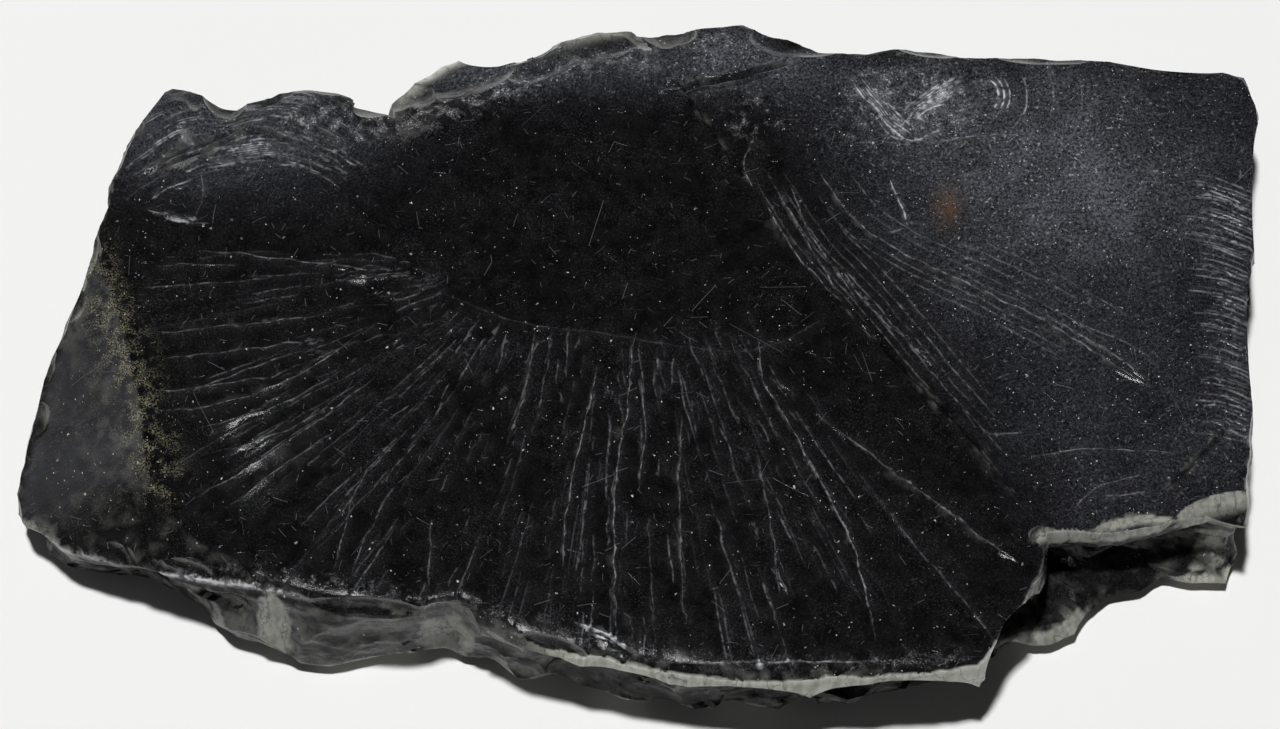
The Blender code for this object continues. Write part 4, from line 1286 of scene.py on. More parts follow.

# %% [markdown]
# ## Attributes: where the rock is drawn pale, as powder and painted reflection
#
# A material can only vary by what it can read. Some patterns belong to places on this stone: fresh
# facets and a band under the rim are drawn pale, partly as powder and partly as a painted reflection
# of the white paper, and so are the thin edges of the flakes at the back. They could be painted by
# hand, but here each is a rule over the points of the mesh, and is stored on them as an attribute
# that the material reads.

# %% Pale places
# Where the side is drawn pale, partly as powder and partly as a painted reflection of the paper:
# (x, y, z, reach in x, reach in y, reach in z, how pale)
PALE_FACETS = (
    (-25.9, -19.8, 4.5, 1.3, 2.0, 4.6, 0.55), (-28.2, -19.6, 2.4, 2.0, 2.0, 2.6, 0.15),
    (-19.0, -21.4, 0.7, 4.6, 2.0, 0.8, 0.9), (-13.7, -20.4, 3.4, 2.0, 2.0, 3.6, 0.4),
    (-8.5, -22.4, 1.3, 3.0, 2.0, 1.3, 0.35), (-1.2, -24.2, 0.8, 2.6, 2.0, 0.8, 0.7),
    (33.8, -14.2, 8.4, 5.8, 1.8, 1.5, 0.7), (41.6, -12.2, 8.2, 3.4, 2.6, 1.9, 0.6),
    (30.0, -18.7, 1.2, 3.6, 2.0, 1.5, 0.6), (41.2, -15.4, 0.9, 2.6, 2.0, 1.0, 0.8),
    (41.8, -14.4, 4.0, 2.6, 2.0, 2.2, 0.6), (-42.4, -13.6, 4.2, 3.8, 2.2, 1.5, 0.45),
    (8.0, -24.8, 0.7, 3.0, 2.0, 0.8, 0.5), (15.0, -25.0, 6.2, 2.0, 2.0, 0.8, 0.3),
)
# How pale the band under the rim is drawn, partly powder and partly a painted reflection of the
# paper: (x, y, reach, amount)
PALE_BAND = (
    (-3.0, -24.0, 4.0, 1.1), (6.0, -25.0, 6.0, 1.4), (16.0, -25.0, 8.0, 1.6), (24.0, -24.0, 4.0, 1.5),
)
# How pale the thin edges of the flakes at the back are drawn, and where a painted highlight runs along the
# rim
PALE_FLAKES = ((-15.0, 22.8, 3.4, 1.1), (-3.6, 25.6, 3.4, 0.6))
RIM_HIGHLIGHT = (
    (-31.4, -17.2, 3.6, 1.3), (-26.6, -18.4, 2.6, 1.2), (-40.0, -14.8, 4.0, 0.5), (26.0, -21.6, 4.0, 0.6),
)
print(len(PALE_FACETS), "fresh facets and", len(PALE_FLAKES), "pale flakes")

# %% [markdown]
# ## Attributes: how pale each point is
#
# A fresh facet is an ellipsoid whose edge is broken up by noise, and the band follows the rim down
# to a depth that wavers. Both lie only on the side, where the rock faces outwards. Where two pale
# places overlap, the paler one counts. The pale is partly powder and partly a painted reflection of
# the white paper.


# %% How pale each point is
def from_rim(places):
    """How far places lie inside the broken rim, and how far below it."""
    angles, reach = polar(places[:, :2])
    rim_angles, rim_reach = polar(RIM_LOOP[:, :2])
    inward = np.interp(angles, rim_angles, rim_reach, period=2 * math.pi) - reach
    return inward, np.interp(angles, rim_angles, RIM_LOOP[:, 2], period=2 * math.pi) - places[:, 2]


def pale_places(places, normals):
    """How pale the broken stone is drawn, partly powder and partly a painted reflection of the paper: fresh
    facets, the band under the rim, thin flakes.
    """
    x, y, z = places.T
    side = np.clip((0.94 - normals[:, 2]) / 0.12, 0.0, 1.0)
    wobble = np.array([noise.fractal(place * 0.9, 0.8, 2.1, 4) for place in map(Vector, places)])
    pale = np.clip(0.3 * wobble, 0.0, 0.15)
    for *centre, reach_x, reach_y, reach_z, amount in PALE_FACETS:
        away = (((places - centre) / (reach_x, reach_y, reach_z)) ** 2).sum(axis=1)
        pale = np.maximum(pale, amount * np.clip((1.15 + 0.5 * wobble - away) / 0.25, 0.0, 1.0))
    inward, below = from_rim(places)
    limit = SHOULDER_DROP + blobs(x, y, BANDS) + 0.7 + 0.6 * wobble
    band = np.clip((limit - below) / 0.25, 0.0, 1.0) * (inward < 0.05)
    pale = np.maximum(side * pale, np.clip(band * blobs(x, y, PALE_BAND), 0.0, 1.0))
    return np.maximum(pale, np.clip(np.exp(-(inward / 0.6) ** 2) * blobs(x, y, PALE_FLAKES), 0.0, 1.0))


def store(name, kind, values):
    """Keep one value for each point of the stone."""
    layer = stone.data.attributes.new(name, kind, "POINT")
    key = "vector" if kind == "FLOAT_VECTOR" else "value"
    layer.data.foreach_set(key, np.asarray(values, np.float32).ravel())


powder = pale_places(spots, point_normals)
print("pale and powdery points", int((powder > 0.5).sum()), "of", len(powder))

# %% [markdown]
# ## Attributes: worn crests, painted glints and flank sheen
#
# The crests are what a hand touches first. They are crushed pale, but in dashes, because a crest
# is never even, and the most worn are drawn at full strength as painted glints. A painted sheen lies
# on their long flanks. Both follow the distance from the crest's own line, and the dashes are the
# product of two waves whose lengths don't fit together.


# %% Worn crests, painted glints and flank sheen
def glow_at(places, x, y, reach_x, reach_y):
    """Round mask that fades from one to nothing."""
    return np.exp(-(((places[:, 0] - x) / reach_x) ** 2 + ((places[:, 1] - y) / reach_y) ** 2))


def beside(places, points, reach):
    """Mask that fades with distance from a line."""
    signed, _ = side_of_line(places, bend(points, 1.0))
    return np.exp(-(signed / reach) ** 2)


def crest_wear_and_painted_light(places):
    """Where crests are crushed pale in dashes, the most worn as painted glints, and a painted sheen on their
    long flanks.
    """
    worn, flank = np.zeros(len(places)), np.zeros(len(places))
    for number, (line, height, _, _, wear) in enumerate(CREST_LINES):
        close = near_line(places, line, 1.2)
        signed, along = side_of_line(places[close], line)
        run = along * np.hypot(*np.diff(line, axis=0).T).sum()
        dashes = 0.65 + 0.35 * np.sin(2.9 * run + number) * np.sin(1.3 * run + 2.0 * number)
        fade = np.clip(6.0 * np.minimum(along, 1.0 - along), 0.0, 1.0) * dashes
        width = 0.03 if wear < 1.5 else 0.045
        # Crests worn above 1.2 are drawn at full strength, as painted glints.
        bright = wear if wear > 1.2 else 0.7 * wear
        worn[close] = np.maximum(worn[close], bright * fade * np.exp(-(signed / width) ** 2))
        # Painted sheen that fades across the long flank of each crest.
        lit = np.exp(-np.abs(signed) / np.where(signed > 0.0, 0.35, 0.08))
        flank[close] = np.maximum(flank[close], min(1.0, 0.3 + 6.0 * height) * fade * lit)
    return worn, flank


plan = spots[:, :2]
worn, flank = crest_wear_and_painted_light(plan)
print("worn points", int((worn > 0.3).sum()))

# %% [markdown]
# ## Attributes: the fan's own coordinates
#
# The finest striations follow the hackles, so the fan's own coordinates, angle and ring, are stored
# for the material to stretch its noise along. They could be a UV map, but nothing here is painted
# on the flat, so one vector for each point is enough. The right shell and the lumps broke apart
# from the fan, so they get coordinates of their own.

# %% Coordinates for the striations
right_of_shell = plan[:, 0] - 0.55 * (12.0 - plan[:, 1])
right_side = right_of_shell > 15.0
lump_ground = (plan[:, 1] > 12.5 - 0.3 * (plan[:, 0] + 30.0)) & (plan[:, 0] < -17.0)
lump_ring = np.hypot(plan[:, 0] + 28.0, plan[:, 1] - 4.0)
angle, ring = fan_place(plan)
angle = np.where(right_side, 0.05 * (plan[:, 1] - 0.15 * plan[:, 0]), angle)
ring = np.where(right_side, 0.16 * plan[:, 0], ring)
angle = np.where(lump_ground, 0.05 * lump_ring, angle)
ring = np.where(lump_ground, 0.1 * plan[:, 0], ring)
store("fan", "FLOAT_VECTOR", np.column_stack((angle, ring, np.zeros(len(plan)))))
print("points on the right shell", int(right_side.sum()), "and on the lumps", int(lump_ground.sum()))

# %% [markdown]
# ## Attributes: all the masks
#
# The other masks say where the broad face is, where it is rough, where it is hazy with dust and a
# painted sheen, where painted glitter goes, where ochre dust has settled beside the left ridge, where
# there is a rust spot, and where loose crumbs lie thickest. Most are round patches that fade out, or
# bands beside a line.

# %% Store the masks
BACK_BEVEL = ((-19.0, 17.6), (-14.4, 18.8), (-9.0, 20.9), (-4.5, 22.6), (1.0, 23.4))
FRONT_EDGE = (
    (-36.0, -16.4), (-27.0, -17.4), (-17.0, -19.0), (-8.0, -21.0), (0.0, -23.4), (12.0, -24.2), (23.0, -23.6),
)
LEFT_RIDGE = ((-39.6, 6.5), (-38.4, 3.0), (-37.2, -0.5), (-36.2, -3.5), (-35.4, -7.0), (-34.0, -10.5))

# (x, y, reach in x, reach in y, amount)
# Where the face is hazy: partly dust and partly a painted sheen.
SHEEN_AND_HAZE = (
    (31.0, 13.5, 8.0, 6.5, 0.9), (-30.0, 17.0, 9.0, 4.0, 0.7), (-8.0, 22.4, 12.0, 2.2, 0.7),
    (8.0, 23.0, 5.0, 2.5, 0.8), (20.5, 19.5, 4.5, 3.0, 0.4),
)
# Where painted glitter and glints go: (x, y, reach in x, reach in y, amount)
GLITTERING = (
    (20.5, 19.5, 4.5, 3.0, 1.0), (8.6, 18.6, 1.5, 1.5, 1.0), (5.5, 24.3, 2.4, 1.0, 0.9),
    (-23.0, 17.6, 2.5, 1.5, 1.0),
)


def glows(rows):
    """Sum of round masks over the stone."""
    return sum(amount * glow_at(plan, *place) for *place, amount in rows)


top = np.clip((spots[:, 2] - face_height(plan) + 0.9) / 0.4, 0.0, 1.0)
right_shell = np.clip((right_of_shell - 12.0) / 8.0, 0.0, 1.0)
left_facet = np.clip((-36.5 - plan[:, 0] - 0.12 * plan[:, 1]) / 2.0, 0.0, 1.0)
lumps = glow_at(plan, -31.0, 16.5, 9.0, 5.0)
# Painted glitter: round patches, the back bevel and the front edge.
sparkle = glows(GLITTERING) + beside(plan, BACK_BEVEL, 1.0) + 0.3 * beside(plan, FRONT_EDGE, 0.5)
dust = 0.8 * beside(plan, LEFT_RIDGE, 1.5) + 0.1 * glow_at(plan, -38.5, -4.0, 5.0, 9.0)
# A painted highlight along parts of the rim, and a painted glint on the front edge below it.
rim_highlight = np.exp(-(from_rim(spots)[0] / 0.12) ** 2) * blobs(plan[:, 0], plan[:, 1], RIM_HIGHLIGHT)
front_glint = glow_at(plan, 8.7, -24.2, 0.22, 0.2)
clusters = np.array([noise.fractal(Vector((x / 5.0, y / 5.0, 2.0)), 0.8, 2.0, 3) for x, y in plan])
MASK_VALUES = {
    "dust": top * dust,
    "rust": top * glow_at(plan, 22.8, 11.2, 0.9, 1.5),
    "haze": top * np.clip(0.24 * right_shell + glows(SHEEN_AND_HAZE), 0.0, 1.0),
    "rough": np.clip(0.2 * (1.0 - top) + 0.3 * left_facet + 0.5 * lumps, 0.0, 1.0),
    "sparkle": top * np.clip(sparkle, 0.0, 1.0),
    "top": top,
    # Painted sheen on the long flanks of the crests.
    "flank": top * flank,
    # Crushed crests and painted glints, with a painted highlight on the rim and a painted glint on the front
    # edge.
    "worn": top * (worn + rim_highlight + front_glint),
    "litter": top * np.clip(0.35 + 1.6 * clusters + 0.8 * right_shell, 0.05, 1.8),
    "powder": powder,
}
for name, values in MASK_VALUES.items():
    store(name, "FLOAT", values)
print("attributes", ["fan", *MASK_VALUES])

# %% [markdown]
# ## A pattern is a table of nodes
#
# The finish of the rock needs more than a hundred nodes of a few kinds: noise, ramps that turn noise
# into a mask, and sums and products of masks. They could be placed by hand in the editor, or each
# by its own call. Here a pattern is a table with one node a row: its name, its kind, and what the
# node takes, which may be the name of an earlier row. One loop builds any such table. Noise sizes
# are divisions per millimetre, because the place is given in millimetres.


# %% Tables of nodes
# kind: (type of node, its settings, the inputs that a row gives, in order)
KINDS = {
    "noise": ("ShaderNodeTexNoise", {}, ("Vector", "Scale", "Detail", "Roughness")),
    "cells": ("ShaderNodeTexVoronoi", {}, ("Vector", "Scale")),
    "flat cells": ("ShaderNodeTexVoronoi", {"voronoi_dimensions": "2D"}, ("Vector", "Scale")),
    "stretch": ("ShaderNodeMapping", {}, ("Vector", "Scale", "Rotation")),
    "ramp": ("ShaderNodeMapRange", {}, ("Value", "From_Min", "From_Max", "To_Min", "To_Max")),
    "times": ("ShaderNodeMath", {"operation": "MULTIPLY"}, ("i0", "i1")),
    "held times": ("ShaderNodeMath", {"operation": "MULTIPLY", "use_clamp": True}, ("i0", "i1")),
    "plus": ("ShaderNodeMath", {"operation": "ADD"}, ("i0", "i1")),
    "held plus": ("ShaderNodeMath", {"operation": "ADD", "use_clamp": True}, ("i0", "i1")),
    "minus": ("ShaderNodeMath", {"operation": "SUBTRACT"}, ("i0", "i1")),
    "most": ("ShaderNodeMath", {"operation": "MAXIMUM"}, ("i0", "i1")),
    "below": ("ShaderNodeMath", {"operation": "LESS_THAN"}, ("i0", "i1")),
    "size": ("ShaderNodeMath", {"operation": "ABSOLUTE"}, ("i0",)),
    "moved": ("ShaderNodeVectorMath", {"operation": "MULTIPLY_ADD"}, ("i0", "i1", "i2")),
    "away": ("ShaderNodeVectorMath", {"operation": "SUBTRACT"}, ("i0", "i1")),
    "spun": ("ShaderNodeVectorRotate", {"rotation_type": "Z_AXIS"}, ("Vector", "Angle")),
    "axes": ("ShaderNodeSeparateXYZ", {}, ("Vector",)),
    "draw": ("ShaderNodeSeparateColor", {}, ("Color",)),
}


def lay(tree, made, rows):
    """Add a node for each row, and keep its outputs under the row's name."""
    for name, kind, *given in rows:
        node_type, settings, keys = KINDS[kind]
        given = [made[value] if isinstance(value, str) else value for value in given]
        node = put(tree, node_type, settings, **dict(zip(keys, given)))
        made[name] = node.outputs[0]
        made.update({name + "." + output.name: output for output in node.outputs})


print(len(KINDS), "kinds of node")

# %% [markdown]
# ## Gloss, grain and striations
#
# Shungite with little ash in it is black, with a lustre between glass and graphite. A handled piece
# is not evenly black: a thin film dims it in clouds about a millimetre wide, and the fracture has a
# grain of 0.1 to 0.2 mm, which comes and goes in patches 5 mm wide. The finest striations run with
# the fan, so their noise is stretched along it: fine across the hackles and long beside them.

# %% Gloss, grain and striations
GLOSS = (
    ("patches", "noise", "place", 0.22, 3.0),
    ("grit", "noise", "place", 9.0, 4.0),
    ("film clouds", "noise", "place", 0.9, 9.0),
    ("film", "ramp", "film clouds", 0.35, 0.85, 0.0, 1.0),
    ("grain clouds", "noise", "place", 5.0, 3.0),
    ("grain", "ramp", "grain clouds", 0.42, 0.66, 0.0, 1.0),
    ("film share", "ramp", "film", 0.0, 1.0, 0.05, 0.35),
    ("dull grain", "times", "grain", "film share"),
    ("salt", "ramp", "grit", 0.54, 0.70, 0.0, 1.0),
    ("patch share", "ramp", "patches", 0.40, 0.62, 0.10, 0.55),
    ("salty patches", "times", "salt", "patch share"),
)
STRIATIONS = (
    ("along fan", "stretch", "fan", (70.0, 4.0, 1.0)),
    ("striae", "noise", "along fan", 1.0, 5.0, 0.6),
    ("striae share", "ramp", "patches", 0.42, 0.62, 0.15, 1.0),
    ("striations", "times", "striae", "striae share"),
    # Painted sheen on the long flanks of the hackles, broken up by grit.
    ("flank grit", "ramp", "grit", 0.38, 0.62, 0.10, 1.0),
    ("lit flanks", "times", "flank", "flank grit"),
)
print(len(GLOSS) + len(STRIATIONS), "nodes of gloss and striations")

# %% [markdown]
# ## Scratches and specks
#
# Scratches on a stone that lay among others are short, straight and turned every way. Stretched
# noise would give only one direction, so a flat cell pattern is used: each cell holds one scratch,
# and the cell's random colour decides its angle, length and strength. Real ones are about 0.01 mm
# wide, which wouldn't show, so they are drawn 0.05 mm wide. A few level ones come from noise that
# is stretched. Pale specks are the middles of ragged cells, 0.03 to 0.18 mm across.


# %% Scratches and specks
def scratches(name, per_mm, longest, share):
    """Rows for scratches of one size: how close, how long at most, and what share is drawn."""
    return (
        (name + " cell", "flat cells", "swayed", per_mm),
        (name + " draw", "draw", name + " cell.Color"),
        (name + " away", "away", "swayed", name + " cell.Position"),
        (name + " angle", "times", name + " draw.Red", 2 * math.pi),
        (name + " turned", "spun", name + " away", name + " angle"),
        (name + " axes", "axes", name + " turned"),
        (name + " across", "size", name + " axes.Y"),
        (name + " thin", "ramp", name + " across", 0.012, 0.035, 1.0, 0.0),
        (name + " reach", "times", name + " draw.Green", longest),
        (name + " along", "size", name + " axes.X"),
        (name + " short", "below", name + " along", name + " reach"),
        (name + " kept", "ramp", name + " draw.Blue", 1.0 - share, 1.0, 0.0, 1.0),
        (name + " drawn", "times", name + " kept", name + " thin"),
        (name, "times", name + " drawn", name + " short"),
    )


SCRATCHES = (
    ("sway", "noise", "place", 0.7, 2.0),
    ("swayed", "moved", "sway.Color", (0.15, 0.15, 0.0), "place"),
    *scratches("long marks", 0.2, 2.2, 0.35),
    *scratches("short marks", 0.5, 0.8, 0.4),
    *scratches("nicks", 1.1, 0.3, 0.4),
    ("level place", "stretch", "place", (0.35, 5.0, 1.0), (0.0, 0.0, math.radians(4.0))),
    ("level noise", "noise", "level place", 1.0, 2.0),
    ("level lines", "ramp", "level noise", 0.70, 0.75, 0.0, 1.0),
    ("level ground", "stretch", "place", (1.0, 1.0, 1.0), (0.0, 0.0, math.radians(10.0))),
    ("level clouds", "noise", "level ground", 0.35, 2.0),
    ("level share", "ramp", "level clouds", 0.50, 0.65, 0.0, 0.5),
    ("level marks", "times", "level lines", "level share"),
    ("longer marks", "most", "level marks", "long marks"),
    ("shorter marks", "most", "short marks", "nicks"),
    ("marks", "most", "longer marks", "shorter marks"),
    ("face marks", "times", "marks", "top"),
)
SPECKS = (
    ("crumble", "noise", "place", 7.0, 2.0),
    ("ragged place", "moved", "crumble.Color", (0.3, 0.3, 0.3), "place"),
    ("speck cells", "cells", "ragged place", 1.3),
    ("speck draw", "draw", "speck cells.Color"),
    ("speck size", "ramp", "speck draw.Red", 0.42, 1.0, 0.02, 0.12),
    ("speck spots", "below", "speck cells", "speck size"),
    ("speck share", "ramp", "speck draw.Green", 0.3, 1.0, 0.05, 1.0),
    ("specks", "times", "speck spots", "speck share"),
)
print(len(SCRATCHES) + len(SPECKS), "nodes of scratches and specks")

# %% [markdown]
# ## Haze, painted sheen, wear and glints
#
# The right shell and the back rim are hazy: a mottled grey in clouds 3 mm wide with sparks in it,
# partly fine dust and grain and partly a painted sheen, with painted glints for the sparks. Crests
# are crushed to a pale line that is broken up every half millimetre, the most worn drawn as painted
# glints. Where a blow has shattered the surface, painted glitter stands for its small facets. All
# three are drawn as colour and roughness.

# %% Haze, painted sheen, wear and glints
# Haze colour is partly dust and grain and partly a painted sheen; sparks are painted glints.
HAZE = (
    ("grain mottle", "ramp", "grain", 0.0, 1.0, 0.15, 0.85),
    ("striae mottle", "ramp", "striae", 0.45, 0.60, 0.0, 0.15),
    ("mottle", "plus", "grain mottle", "striae mottle"),
    ("salty mottle", "plus", "mottle", "salt"),
    ("haze clouds", "noise", "place", 0.3, 7.0),
    ("haze share", "ramp", "haze clouds", 0.38, 0.62, 0.7, 1.2),
    ("haze here", "times", "haze", "haze share"),
    ("hazy", "times", "salty mottle", "haze here"),
    ("spark clouds", "noise", "place", 3.4, 9.0),
    ("spark spots", "ramp", "spark clouds", 0.62, 0.70, 0.0, 1.0),
    ("sparks", "times", "haze", "spark spots"),
    ("rough grit", "ramp", "grit", 0.30, 0.75, 0.10, 1.0),
    ("dull rough", "times", "rough", "rough grit"),
)
# Shattered sparkle and glitter are painted glints on grey crushed rock.
WEAR = (
    ("facet clouds", "noise", "place", 1.3, 8.0),
    ("facets", "ramp", "facet clouds", 0.46, 0.66, 0.0, 1.0),
    ("facet grit", "ramp", "grit", 0.42, 0.62, 0.10, 1.0),
    ("gritty", "times", "facets", "facet grit"),
    ("shattered", "times", "sparkle", "gritty"),
    ("glitter clouds", "noise", "place", 5.0, 8.0),
    ("glitter spots", "ramp", "glitter clouds", 0.57, 0.66, 0.0, 1.0),
    ("glitter share", "ramp", "facets", 0.2, 0.8, 0.0, 1.0),
    ("glitter facets", "times", "glitter spots", "glitter share"),
    ("glitter", "times", "glitter facets", "sparkle"),
    ("wear clouds", "noise", "place", 2.2, 6.0),
    ("broken up", "ramp", "wear clouds", 0.40, 0.60, 0.08, 1.15),
    ("worn crests", "held times", "worn", "broken up"),
    ("wear", "most", "worn crests", "glitter"),
)
print(len(HAZE) + len(WEAR), "nodes of haze and wear")

# %% [markdown]
# ## Broken side, powder with painted reflection, and minerals
#
# The side is duller than the face: it broke across the grain, and is crumbly at about a millimetre.
# Its fresh facets are drawn pale, partly as a powder of the rock's own carbon and silica and partly
# as a painted reflection of the white paper, streaked downwards and crossed by dark seams. Ochre
# dust has settled beside the left ridge, and iron has left one rust spot. Each is a mask from the
# points times a noise that breaks its edge.

# %% Side, powder with painted reflection, and minerals
SIDE = (
    ("beneath", "minus", 1.0, "top"),
    ("crumbly", "noise", "place", 1.1, 10.0),
    ("bloom share", "ramp", "crumbly", 0.50, 0.68, 0.0, 0.5),
    ("bloom", "times", "beneath", "bloom share"),
    ("streak place", "stretch", "place", (2.6, 2.6, 0.5)),
    ("streaks", "noise", "streak place", 0.9, 8.0),
    ("flaws", "ramp", "streaks", 0.38, 0.58, 0.65, 1.0),
    ("seam place", "stretch", "place", (1.0, 1.0, 0.3)),
    ("seam clouds", "noise", "seam place", 0.35, 5.0),
    ("seam offset", "minus", "seam clouds", 0.5),
    ("seam distance", "size", "seam offset"),
    ("seams", "ramp", "seam distance", 0.003, 0.010, 0.5, 1.0),
    ("powder flaws", "times", "flaws", "seams"),
    ("powdery", "times", "powder", "powder flaws"),
# Pale side: partly powder, partly a painted reflection of the white paper.
)
MINERALS = (
    ("dust clouds", "noise", "place", 1.1, 9.0),
    ("dust patches", "ramp", "dust clouds", 0.44, 0.58, 0.0, 1.0),
    ("dust grit", "ramp", "grit", 0.46, 0.60, 0.0, 1.0),
    ("settled", "times", "dust patches", "dust grit"),
    ("ochre", "times", "dust", "settled"),
    ("rust grit", "ramp", "grit", 0.38, 0.60, 0.10, 1.0),
    ("rusty", "times", "rust", "rust grit"),
)
print(len(SIDE) + len(MINERALS), "nodes of powder and minerals")

# %% [markdown]
# ## Layers, lustre and relief
#
# The colour starts as coal black under its film, and each finish is one layer over it, from the
# rock outwards. Some layers are painted light: the sheen on hackle flanks, the haze sheen, sparks,
# glitter and glints, and the pale reflection of the paper on the side. Roughness is low, 0.10 to
# 0.26, and rises where the rock is hazy, worn or dusty.
# Striations and scratches are far finer than the mesh, so they are bump instead of geometry.

# %% Layers, lustre and relief
MASKS = ("dust", "rust", "haze", "rough", "sparkle", "top", "flank", "worn", "powder")

# (mask, strength, sRGB colour), from the rock outwards
LAYERS = (
    ("dull grain", 1.0, "#2b2b2c"), ("salty patches", 1.0, "#434345"), ("lit flanks", 1.0, "#333335"),
    ("hazy", 0.8, "#666870"), ("sparks", 0.8, "#a2a4ab"), ("dull rough", 1.0, "#262627"),
    ("face marks", 0.32, "#84868a"), ("specks", 0.95, "#c6c7c3"), ("bloom", 1.0, "#3c3c3b"),
    ("powdery", 1.0, "#c2c2b8"), ("shattered", 1.0, "#88888a"), ("wear", 1.0, "#c4c5c9"),
    ("ochre", 0.8, "#8f8b74"), ("rusty", 1.0, "#5c4738"),
)

# roughness and relief, from the masks above
LUSTRE = (
    ("film gloss", "ramp", "film", 0.0, 1.0, 0.10, 0.26),
    ("rough gloss", "times", "rough", 0.16),
    ("bare gloss", "plus", "film gloss", "rough gloss"),
    ("haze gloss", "times", "hazy", 0.08),
    ("hazy gloss", "plus", "bare gloss", "haze gloss"),
    ("scattering", "most", "wear", "specks"),
    ("scattered gloss", "times", "scattering", 0.25),
    ("roughness", "held plus", "hazy gloss", "scattered gloss"),
)
RELIEF = (
    ("striae relief", "times", "striations", 0.7),
    ("mark relief", "times", "marks", -0.25),
    ("face relief", "plus", "striae relief", "mark relief"),
    ("crumbly relief", "times", "crumbly", 3.0),
    ("side relief", "times", "beneath", "crumbly relief"),
    ("relief", "plus", "face relief", "side relief"),
)
RECIPE = GLOSS + STRIATIONS + SCRATCHES + SPECKS + HAZE + WEAR + SIDE + MINERALS + LUSTRE + RELIEF
RELIEF_DEPTH = 0.06 * MM
GRIT_DEPTH = 0.02 * MM
print(len(LAYERS), "layers of colour over", len(RECIPE), "nodes of pattern")

# %% [markdown]
# ## Shungite: black rock with a glassy lustre
#
# The two materials of the stone share one recipe: the lustrous one of the broad face, and the
# fractured one of the side, whose rough break mirrors far less of the paper. The index of
# refraction of 1.62 is typical for glassy carbon. One material with a mask for its lustre would do
# as well, but a specular level that is linked is lost when the model is exported.


# %% Shungite material
def shungite(name, specular):
    """Black shungite, fractured and slightly dusty, with more or less lustre."""
    material = bpy.data.materials.new(name)
    material.use_nodes = True
    tree = material.node_tree
    surface = tree.nodes["Principled BSDF"]
    metres = put(tree, "ShaderNodeTexCoord").outputs["Object"]
    place = put(tree, "ShaderNodeVectorMath", {"operation": "SCALE"}, Vector=metres, Scale=1.0 / MM)
    fan = put(tree, "ShaderNodeAttribute", {"attribute_name": "fan"})
    made = {"place": place.outputs["Vector"], "fan": fan.outputs["Vector"]}
    for mask in MASKS:
        made[mask] = put(tree, "ShaderNodeAttribute", {"attribute_name": mask}).outputs["Fac"]
    lay(tree, made, RECIPE)
    colour = put(tree, "ShaderNodeMix", {"data_type": "RGBA"}, i0=made["film"],
                 i6=tint("#080809"), i7=tint("#141415"))
    for mask, strength, code in LAYERS:
        amount = put(tree, "ShaderNodeMath", {"operation": "MULTIPLY", "use_clamp": True},
                     i0=made[mask], i1=strength)
        colour = put(tree, "ShaderNodeMix", {"data_type": "RGBA"}, i0=amount.outputs[0],
                     i6=colour.outputs[2], i7=tint(code))
    coarse = put(tree, "ShaderNodeBump", Height=made["relief"], Strength=0.7, Distance=RELIEF_DEPTH)
    fine = put(tree, "ShaderNodeBump", Height=made["grit"], Strength=0.5, Distance=GRIT_DEPTH,
               Normal=coarse.outputs["Normal"])
    tree.links.new(colour.outputs[2], surface.inputs["Base Color"])
    tree.links.new(made["roughness"], surface.inputs["Roughness"])
    tree.links.new(fine.outputs["Normal"], surface.inputs["Normal"])
    surface.inputs["IOR"].default_value = 1.62
    surface.inputs["Specular IOR Level"].default_value = specular
    return material


stone.data.materials.clear()
stone.data.materials.append(shungite("lustrous_shungite", 0.5))
stone.data.materials.append(shungite("fractured_shungite", 0.13))
face_share = np.clip((facet_middles[:, 2] - face_height(facet_middles[:, :2]) + 0.5) / 0.4, 0.0, 1.0)
is_side = face_share < 0.5
stone.data.polygons.foreach_set("material_index", is_side.astype(np.int32))
print("material nodes", len(stone.data.materials[0].node_tree.nodes), "side faces", int(is_side.sum()))

# %% [markdown]
# ## Crumbs and ochre dust
#
# Loose grains lie on the stone: pale crumbs all over the face, and ochre mineral dust along the
# left ridge. They are the same small lump again and again, so Geometry Nodes scatter them: points
# are spread over the faces, as thick as a mask says, and each gets a lump of random size. A lump
# has only twenty faces, because a grain is less than a tenth of a millimetre wide.


# %% Grain scattering tree
# (input, type of socket, value to start from)
GRAIN_INPUTS = (
    ("Per square mm", "NodeSocketFloat", 0.3), ("Smallest", "NodeSocketFloat", 0.03 * MM),
    ("Largest", "NodeSocketFloat", 0.12 * MM), ("Seed", "NodeSocketInt", 1),
    ("Mask", "NodeSocketString", "top"),
)


